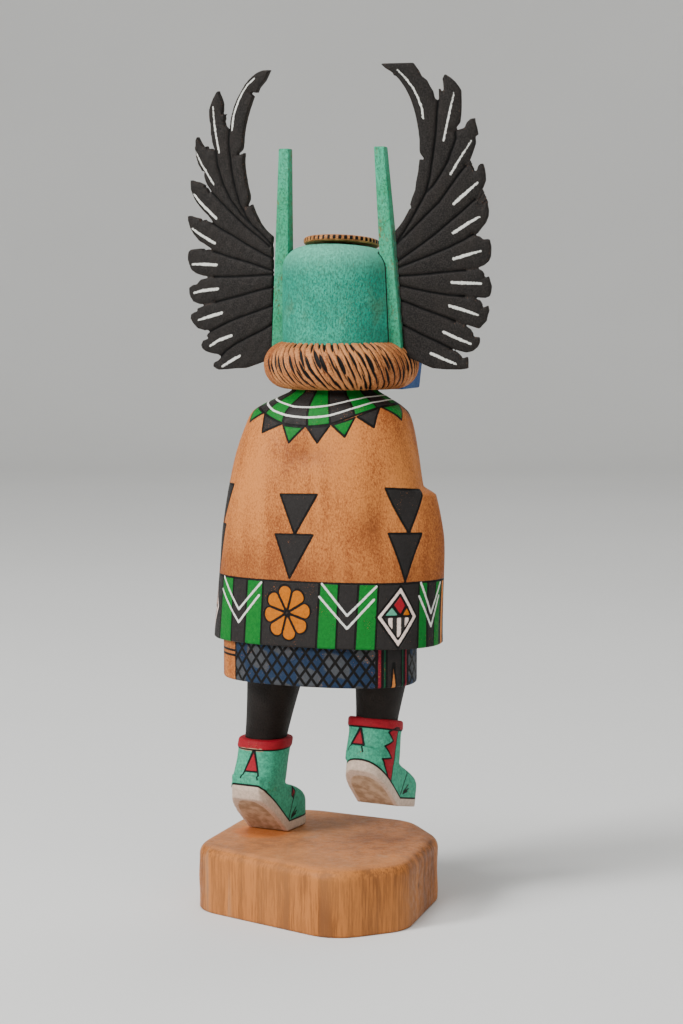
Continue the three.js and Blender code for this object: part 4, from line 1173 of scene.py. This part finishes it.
class BuildWings(bpy.types.Operator):
    """Carve the two feathered wings with grooves and white shaft marks"""

    bl_idname = "doll.build_wings"
    bl_label = "Build wings"

    def execute(self, context):
        sizes, colours = context.scene.doll_sizes, context.scene.doll_colours
        thick = sizes.wing_thickness / MM
        material = self.finish(colours)
        for name, side in (("left", 1), ("right", -1)):
            outline = np.array(WINGS[name]["outline"])
            board = np.column_stack([outline, np.zeros(len(outline))])
            piece = extruded("feathered_wing_" + name, board, (0, 0, thick))
            evened(piece, 0.34, 2)
            flat = places(piece) / MM
            uv = flat[:, :2]
            seams = np.full(len(flat), 1e9)
            for path in WINGS[name]["grooves"]:
                seams = np.minimum(seams, path_distance(uv, path))
            rim = -outline_distance(uv, outline)
            cut = 0.75 * np.exp(-((seams / 0.45) ** 2)) + 0.16 * np.exp(-((seams / 1.8) ** 2))
            cut += 0.45 * np.exp(-np.maximum(rim, 0) / 0.9) + 0.06 * np.sin(uv[:, 1] * 0.9 + uv[:, 0] * 1.3)
            facing = np.clip((flat[:, 2] - thick / 2) / (thick / 2), -1, 1)
            flat[:, 2] -= facing * cut
            marks = np.full(len(flat), 9.0)
            for k, path in enumerate(WINGS[name]["shafts"]):
                tip, run = np.array(path[0]), np.array(path[-1]) - np.array(path[0])
                along = np.clip((uv - tip) @ run / (run @ run), 0, 1)
                broadest = SHAFT_NARROW if k < NARROW_SHAFTS else SHAFT_BROAD
                half = broadest * (0.62 + 0.38 * np.sin(along * math.pi * 0.75))
                marks = np.minimum(marks, path_distance(uv, path) - half)
            keep_fields(piece, {"marks": marks, "grooves": seams, "rim": rim})
            place(piece, self.in_place(side, flat, sizes) * MM)
            close_up()
            belongs(piece, "wing_" + name, material)
        return {"FINISHED"}

    @staticmethod
    def in_place(side, flat, sizes):
        sweep, lean = WING_SWEEP, POST_LEAN
        origin = np.array([side * WING_OUT, WING_BACK, mask_top(sizes) - WING_DROP])
        outward = np.array([side * math.cos(sweep), -math.sin(sweep), 0])
        upward = np.array([0, math.sin(lean), math.cos(lean)])
        forward = np.array([-side * math.sin(sweep), -math.cos(sweep), math.sin(lean)])
        return origin + flat[:, :1] * outward + flat[:, 1:2] * upward + flat[:, 2:] * forward

    @staticmethod
    def finish(colours):
        finish = Finish("wing_finish", 0.62)
        body = finish.wood(paint(120, 84, 60), paint(70, 46, 32), (1, 1, 0.12))
        grain = finish.step(finish.noise(2100, detail=4, roughness=0.7), 0.4, 0.68)
        black = finish.mix(grain, colours.feather, paint(46, 42, 39))
        bands = finish.step(finish.noise(180, (1, 1, 0.4), 3), 0.4, 0.7, 0.0, 0.3)
        black = finish.mix(bands, black, paint(40, 34, 30))
        specks = finish.noise(2400, (1, 1, 0.7), 4, 0.75)
        rim = finish.step(finish.field("rim"), 0.0, 1.1, 0.09, 0.0)
        kept = finish.step(finish.maths("SUBTRACT", specks, rim), 0.25, 0.33)
        body = finish.mix(kept, body, black)
        body = finish.mix(finish.step(finish.field("grooves"), 0.2, 0.5, 1.0, 0.0), body, paint(3, 3, 3))
        uneven = finish.maths("MULTIPLY", finish.maths("SUBTRACT", finish.noise(1700, detail=3), 0.5), 0.9)
        mark = finish.step(finish.maths("ADD", finish.field("marks"), uneven), -0.14, 0.1, 1.0, 0.0)
        body = finish.mix(finish.maths("MULTIPLY", mark, 0.92), body, colours.white)
        finish.raised(specks, 0.8)
        finish.raised(mark, 0.3)
        return finish.done(body, 0.16, finish.step(specks, 0.3, 0.7, 0.5, 0.75))


# Legs and boots
# Each leg: where it aims at the top, where its foot is, and its radius at both. It ends hidden in the skirt.
LEGS = {"left": ((23.4, 3), (31.8, -5.2, 34.9), 11.2, 7.6), "right": ((-16.5, 1.5), (-11.6, -5, 41.4), 10.2, 7.3)}
LEG_AIM, LEG_TOP = 0.31, 0.284


class BuildLegs(bpy.types.Operator):
    """Shape the two black legs"""

    bl_idname = "doll.build_legs"
    bl_label = "Build legs"

    def execute(self, context):
        sizes, colours = context.scene.doll_sizes, context.scene.doll_colours
        turns = turns_from_front(80)
        finish, body = rubbed_paint("leg_finish", colours.feather, paint(34, 31, 29), paint(70, 48, 34), 0.3)
        material = finish.done(body, 0.16)
        for name, (top, foot, top_radius, foot_radius) in LEGS.items():
            top, foot = np.array([*top, up(LEG_AIM, sizes)]), np.array([*foot[:2], up(0, sizes) + foot[2]])
            rings = []
            hidden_end = (up(LEG_TOP, sizes) - foot[2]) / (top[2] - foot[2])
            for t in np.linspace(0, hidden_end, 30):
                x, y, z = foot * (1 - t) + top * t
                radius = foot_radius + (top_radius - foot_radius) * t**1.3
                rings.append(full_ring(x, y, z, radius, radius * 1.04, turns, 2.15))
            rings = np.array(rings)
            ends_closed = [np.broadcast_to(r.mean(0), (1, *r.shape)) for r in (rings[0], rings[-1])]
            piece = wrapped("leg_" + name, np.concatenate([ends_closed[0], rings, ends_closed[1]]))
            belongs(piece, "figure", material)
        return {"FINISHED"}


SOLE_LENGTH, BOOT_HALF_WIDTH, BOOT_TURN = 21.5, 8.5, -8


def heel_at(degrees):
    """Back end of the sole, which rises from the ball of the foot."""
    return SOLE_LENGTH * math.cos(math.radians(degrees)), SOLE_LENGTH * math.sin(math.radians(degrees))


BOOTS = {
    "left": {"ball": (32.4, -8.4, 0.0), "tilt": 0.0, "shaft": 36.0, "lean": (-1.4, -3.4), "heel": heel_at(42),
             "sole": 3.7, "apex": (-1.7, 32.2, 24.6), "vamp": (17.6, 13.6), "zigzag": False},
    "right": {"ball": (-12.2, -5.0, 13.6), "tilt": 12.0, "shaft": 31.0, "lean": (0.6, 0.0), "heel": heel_at(33),
              "sole": 3.1, "apex": (2.0, 26.8, 21.0), "vamp": (14.2, 10.6), "zigzag": True},
}
# Red panel on the outer side of a boot: way round from the outermost line towards the heel, and height
ZIGZAG = [(-0.4, 28.2), (2.2, 28.2), (5.6, 26.4), (2.6, 23.4), (6.9, 21.3), (2.9, 17.2), (7.6, 16.7), (1.2, 6.2)]
# Small mark and burnt lines on the outer side of a boot, seen from the side
SIDE_MARK = [(-3.4, 16.4), (-5.8, 14.2), (-4.6, 11.6), (-3.2, 13)]
SIDE_LINES = [[(-3.6, 16), (-4.6, 12), (-0.8, 4.4)], [(-6.4, 8), (-3, 5.4)], [(-7, 6.6), (-3, 5.2)],
              [(-6.2, 5.6), (-2.6, 4.6)]]
# Way back from the ball to the middle of the shaft
SHAFT_BACK = 6.8


def boot_side(heel, vamp):
    """Side view of the foot: back from the ball, and up."""
    back, rise = heel
    heel_side = [(0, 0), (back, rise), (back + 0.6, rise + 3.4), (back + 0.2, rise + 9)]
    instep = curve((-1.4, vamp[0]), (-15.5, vamp[1]), (-18.5, 5.0), 15)
    return [*heel_side, *instep, (-18.2, 0)]


def boot_plan(half):
    """Plan of the foot, with a round heel and a fuller toe."""
    plan = []
    for side, middle, reach, fullness in ((1, 5, 13.5, 0.8), (-1, -8, -11, 0.62)):
        for k in range(17):
            t = math.pi * k / 16
            across = math.copysign(abs(math.cos(t)) ** fullness, math.cos(t))
            plan.append((side * half * across, middle + reach * math.sin(t) ** fullness))
    return plan


class BuildBoots(bpy.types.Operator):
    """Carve the two boots with soles, red cuffs and painted fields"""

    bl_idname = "doll.build_boots"
    bl_label = "Build boots"

    def execute(self, context):
        sizes, colours = context.scene.doll_sizes, context.scene.doll_colours
        material = self.finish(colours)
        for name, facts in BOOTS.items():
            piece = self.carve("boot_" + name, facts)
            local = places(piece) / MM
            normals = np.empty(len(local) * 3)
            piece.data.vertices.foreach_get("normal", normals)
            keep_fields(piece, self.paint(local, normals.reshape(-1, 3), facts, sizes))
            tilt, turn = math.radians(facts["tilt"]), math.radians(BOOT_TURN)
            y, z = turned(local[:, 1], local[:, 2], tilt)
            x, y = turned(local[:, 0], y, turn)
            ball = np.array(facts["ball"]) + (0, 0, up(0, sizes))
            place(piece, (np.stack([x, y, z], 1) + ball) * MM)
            close_up()
            belongs(piece, "figure", material)
        return {"FINISHED"}

    @staticmethod
    def carve(name, facts):
        """Foot cut from its side view and its plan, with the shaft and the cuff set on it."""
        side = boot_side(facts["heel"], facts["vamp"])
        foot = extruded(name, [(-BOOT_HALF_WIDTH, y, z) for y, z in side], (2 * BOOT_HALF_WIDTH, 0, 0))
        column = extruded("plan", [(x, y, -2) for x, y in boot_plan(BOOT_HALF_WIDTH)], (0, 0, 60))
        turns = turns_from_front(72)
        low = facts["heel"][1] + 3.4
        top = facts["shaft"]

        def centre(z):
            t = (z - low) / (top - low)
            upright = float(smoothstep(z, low, low + 10))
            back = min(facts["heel"][0] - 8.8, 7.6) * (1 - upright) + SHAFT_BACK * upright
            return facts["lean"][0] * t, back + facts["lean"][1] * t

        levels = [(low, 0, 0), (low, 8.6, 9.4), (low + 3, 8.7, 9.4), (low + 6, 8.8, 9.2), (low + 10, 9.0, 8.9),
                  (top - 3.8, 9.2, 8.8), (top - 3.4, 9.6, 9.5), (top - 0.8, 9.6, 9.5), (top - 0.2, 9.4, 9.2),
                  (top, 8.8, 8.6), (top, 0, 0)]
        shaft = wrapped("shaft", np.array([
            full_ring(*centre(z), z, a, b, turns, 3.4 - 0.9 * smoothstep(z, low, low + 12)) for z, a, b in levels
        ]))
        bpy.ops.object.select_all(action="DESELECT")
        foot.select_set(True)
        bpy.context.view_layer.objects.active = foot
        for tool, operation in ((column, "INTERSECT"), (shaft, "UNION")):
            modify(foot, "BOOLEAN", operation=operation, object=tool, solver="EXACT")
            bpy.data.objects.remove(tool)
        evened(foot, 0.36, 8)
        return foot

    @staticmethod
    def paint(local, normals, facts, sizes):
        x, y, z = local.T
        heel, top = facts["heel"], facts["shaft"]
        side_view = np.stack([y, z], 1)
        painting = Painting(side_view, sizes.line_width)
        painting.area("red", top - 3.5 - z)
        painting.line(top - 3.6 - z)
        behind = np.where(y > 6, 0.0, 20.0)
        rear = np.stack([x, z], 1)
        apex, head, foot = facts["apex"]
        corners = [(apex - 0.4, head), (apex + 0.4, head), (apex + 3, foot), (apex - 2.5, foot)]
        triangle = outline_distance(rear, corners)
        painting.area("red", triangle + behind)
        painting.line(triangle + behind)
        for end in (apex + 3.9, apex - 3.2):
            legs = path_distance(rear, [(apex, head), (end, foot - 2.4)]) + behind
            painting.area("burnt", legs - painting.half_line)
        beside = np.where(x < -3, 0.0, 20.0)
        if facts["zigzag"]:
            around = np.arctan2(y - SHAFT_BACK, -x) * 9.5
            panel = outline_distance(np.stack([around, z], 1), ZIGZAG) + beside
            painting.area("red", panel)
            painting.line(panel)
        else:
            painting.shape("red", SIDE_MARK, burnt=True)
        for path in SIDE_LINES:
            painting.area("burnt", path_distance(side_view, path) + beside - 0.3)
        heel_out = (heel[0] * 2, heel[1] * 2)
        above_sole = path_distance(side_view, [(-30, 0), (0, 0), heel_out]) - facts["sole"]
        for name in ("red", "burnt"):
            painting.fields[name] = np.maximum(painting.fields[name], -above_sole)
        painting.area("sole", above_sole)
        painting.line(above_sole)
        raised = math.atan2(heel[1], heel[0])
        underside = np.maximum(normals[:, 1] * math.sin(raised) - normals[:, 2] * math.cos(raised),
                               np.where(y < 1, -normals[:, 2], -1.0))
        inset = -outline_distance(np.stack([x, y * 1.1], 1), boot_plan(BOOT_HALF_WIDTH))
        painting.area("under", np.maximum(0.72 - underside, (1.8 - inset) * 0.3))
        return painting.fields

    @staticmethod
    def finish(colours):
        finish = Finish("boot_finish", 0.58)
        body = finish.wood(colours.wood, colours.wood_dark)
        body = finish.coat(body, colours.boot_green, 1.0, 0.3, 0.24)
        for field, paint_colour, wear in (("red", colours.red, 0.3), ("sole", colours.sole, 0.22)):
            body = finish.coat(body, paint_colour, finish.within(field), wear)
        under = finish.step(finish.field("under"), -0.05, 0.12, 1.0, 0.0)
        scuffs = finish.step(finish.noise(300, detail=4), 0.35, 0.65)
        below = finish.mix(scuffs, paint(150, 124, 98), paint(190, 164, 138))
        body = finish.mix(under, body, below)
        burnt = finish.within("burnt", 0.14)
        body = finish.coat(body, colours.burnt, burnt, 0.2)
        finish.raised(burnt, -1.2)
        return finish.done(body, 0.13)


# The base: its corners before rounding, its middle, its knots with their sizes and the glue mark under the foot
BASE_CORNERS = [(51, -27), (50, 23), (-13, 44.5), (-33.5, 24), (-30.5, -23), (-14, -44), (36, -51)]
BASE_CORNER_RADIUS, BASE_MIDDLE, BASE_REACH = 17.0, (9, -3), 42
KNOTS = [(-32.4, 8, 12.5, 2.2), (-29, 30, 5.5, 1.6), (-20, 40, 16, 1.2)]
GLUE_MARK = (33.5, -6)


class BuildBase(bpy.types.Operator):
    """Shape the wooden base with its worn top edge"""

    bl_idname = "doll.build_base"
    bl_label = "Build base"

    def execute(self, context):
        sizes, colours = context.scene.doll_sizes, context.scene.doll_colours
        corners, outline = np.array(BASE_CORNERS, float), []
        for i, corner in enumerate(corners):
            before, after = corners[i - 1] - corner, corners[(i + 1) % len(corners)] - corner
            before, after = before / np.linalg.norm(before), after / np.linalg.norm(after)
            half = math.acos(float(before @ after)) / 2
            reach = BASE_CORNER_RADIUS / math.tan(half)
            outline.extend(curve(corner + before * reach, corner, corner + after * reach, 25))
        outline = np.array(outline)
        centre = np.array(BASE_MIDDLE)
        rounding, height = sizes.base_rounding / MM, sizes.base_height / MM
        levels = [(0, BASE_REACH), (0, 0.5), (0.5, 0.05)]
        levels += [(z, 0.0) for z in np.linspace(1, height - rounding, 24)]
        levels += [(height - rounding * (1 - math.sin(t)), rounding * (1 - math.cos(t)))
                   for t in np.linspace(0, BACK, 12)[1:]]
        levels += [(height, inset) for inset in np.linspace(rounding + 2, BASE_REACH, 24)]
        rings = []
        for z, inset in levels:
            ring = centre + (outline - centre) * (1 - inset / BASE_REACH)
            around = np.arctan2(*(ring - centre).T)
            wave = 0.12 * (1 + np.sin(7 * around) * np.sin(z * 0.4))
            ring = ring - (ring - centre) / BASE_REACH * np.reshape(wave, (-1, 1))
            rings.append(np.column_stack([ring, np.full(len(ring), z)]))
        piece = wrapped("wooden_base", np.array(rings))
        belongs(piece, "base", self.finish(colours))
        return {"FINISHED"}

    @staticmethod
    def finish(colours):
        finish = Finish("base_finish", 0.5)
        grain = finish.noise(1500, (1, 1, 0.05), 5, 0.75)
        streaks = finish.noise(170, (1, 1, 0.05), 3, 0.55)
        clouds = finish.noise(30, (1, 1, 0.5), 2, 0.5)
        tone = finish.total((grain, 0.55), (streaks, 0.45))
        grey = finish.noise(110, (1, 1, 0.04), 3, 0.6)
        body = colours.base_wood
        for value, step, stain in (
            (tone, (0.42, 0.58, 0.9, 0.0), (98, 54, 24)),
            (streaks, (0.34, 0.46, 0.55, 0.0), (112, 70, 42)),
            (grey, (0.6, 0.72, 0.0, 0.45), (150, 140, 124)),
            (clouds, (0.35, 0.65, 0.0, 0.35), (200, 132, 74)),
        ):
            body = finish.mix(finish.step(value, *step), body, paint(*stain))
        above = finish.step(finish.height(), BASE_HIGH.z - 1.2 * MM, BASE_HIGH.z - 0.2 * MM)
        body = finish.mix(finish.maths("MULTIPLY", above, 0.4), body, paint(190, 130, 92))
        glue = finish.away(*GLUE_MARK, BASE_HIGH.z / MM)
        ragged = finish.maths("ADD", glue, finish.maths("MULTIPLY", finish.noise(160, detail=2), 6 * MM))
        body = finish.mix(finish.step(ragged, 12 * MM, 15.5 * MM, 0.6, 0.0), body, paint(190, 104, 42))
        finish.raised(grain, 0.8)
        for *point, size in KNOTS:
            knot = finish.step(finish.away(*point), 0.0, size * MM, 0.8, 0.0)
            body = finish.mix(knot, body, paint(84, 50, 32))
        return finish.done(body, 0.13, finish.step(finish.noise(420, detail=3), 0.3, 0.7, 0.38, 0.56))


# Stage: the photo's height in pixels and the fitted camera, in pixels and millimetres
PHOTO_HEIGHT = 1024
FOCAL_PIXELS = 2299.0
CAMERA_AT = (-282.7, 776.6, 221.3)
CAMERA_AIM = (0.0, 0.0, 145.1)
# Lights: where they hang in metres, watts and side of the square; all point at the middle of the doll
LIGHTS = [
    ("key_light", (0.95, 1.25, 1.0), 31, 0.45),
    ("fill_light", (-1.3, 0.9, 0.9), 6, 1.2),
    ("top_light", (0.3, 0.75, 1.9), 26, 0.7),
    ("backdrop_light", (-0.2, -1.2, 2.4), 12, 1.2),
]
LIGHTS_AIM = (0, 0, 0.14)
WORLD_STRENGTH = 0.27


def aimed(name, data, where, aim):
    """Hangs a light or camera so that it looks at a point."""
    hung = bpy.data.objects.new(name, data)
    bpy.context.scene.collection.objects.link(hung)
    hung.location = where
    hung.rotation_euler = (Vector(aim) - Vector(where)).to_track_quat("-Z", "Y").to_euler()
    return hung


class SetStage(bpy.types.Operator):
    """Lay the pale floor and backdrop, hang the soft lights and set up the camera"""

    bl_idname = "doll.set_stage"
    bl_label = "Set stage"

    def execute(self, context):
        colours = context.scene.doll_colours
        turns = turns_from_front(96)
        profile = [(0, 0), (0.6, 0), (1.4, 0), (2.2, 0)]
        profile += [(2.2 + 0.8 * math.sin(t), 0.8 - 0.8 * math.cos(t)) for t in np.linspace(0, BACK, 14)[1:]]
        profile += [(3.0, 1.8), (3.0, 3.6)]
        rings = np.array([full_ring(0, 0, z, r, r, turns) for r, z in profile]) * 1000
        backdrop = wrapped("backdrop", rings)
        finish = Finish("backdrop_finish", 0.9)
        cloudy = finish.step(finish.noise(2), 0.3, 0.7)
        body = finish.mix(cloudy, colours.stage, darker(colours.stage, 0.97))
        finish.raised(finish.noise(40), 0.1)
        backdrop.data.materials.append(finish.done(body, 0.1))
        scene = context.scene
        scene.world = scene.world or bpy.data.worlds.new("Studio")
        scene.world.use_nodes = True
        background = scene.world.node_tree.nodes["Background"]
        background.inputs["Color"].default_value = (1, 1, 1, 1)
        background.inputs["Strength"].default_value = WORLD_STRENGTH
        for name, where, energy, size in LIGHTS:
            light = bpy.data.lights.new(name, "AREA")
            light.energy, light.size = energy, size
            aimed(name, light, where, LIGHTS_AIM)
        camera_data = bpy.data.cameras.new("photo_camera")
        camera_data.sensor_fit = "VERTICAL"
        camera_data.sensor_height = 24
        camera_data.lens = FOCAL_PIXELS / PHOTO_HEIGHT * camera_data.sensor_height
        camera_data.clip_start, camera_data.clip_end = 0.05, 20
        scene.camera = aimed("photo_camera", camera_data, Vector(CAMERA_AT) * MM, Vector(CAMERA_AIM) * MM)
        return {"FINISHED"}


OPERATORS = (BuildBase, BuildLegs, BuildBoots, BuildSkirt, BuildCape, BuildRuff, BuildChin, BuildMask, BuildCrown,
             BuildPosts, BuildWings, SetStage)


class DollPanel(bpy.types.Panel):
    bl_idname = "VIEW3D_PT_kachina_doll"
    bl_label = "Kachina Doll"
    bl_space_type = "VIEW_3D"
    bl_region_type = "UI"
    bl_category = PANEL

    def draw(self, context):
        for group in (context.scene.doll_sizes, context.scene.doll_colours):
            for name in group.__annotations__:
                self.layout.prop(group, name)
        for operator in OPERATORS:
            self.layout.operator(operator.bl_idname)


CLASSES = (DollSizes, DollColours, *OPERATORS, DollPanel)


def register():
    for made in CLASSES:
        bpy.utils.register_class(made)
    bpy.types.Scene.doll_sizes = bpy.props.PointerProperty(type=DollSizes)
    bpy.types.Scene.doll_colours = bpy.props.PointerProperty(type=DollColours)


def unregister():
    del bpy.types.Scene.doll_colours
    del bpy.types.Scene.doll_sizes
    for made in reversed(CLASSES):
        bpy.utils.unregister_class(made)


def main():
    register()
    for operator in OPERATORS:
        name = operator.bl_idname.removeprefix("doll.")
        getattr(bpy.ops.doll, name)()


if __name__ == "__main__":
    main()
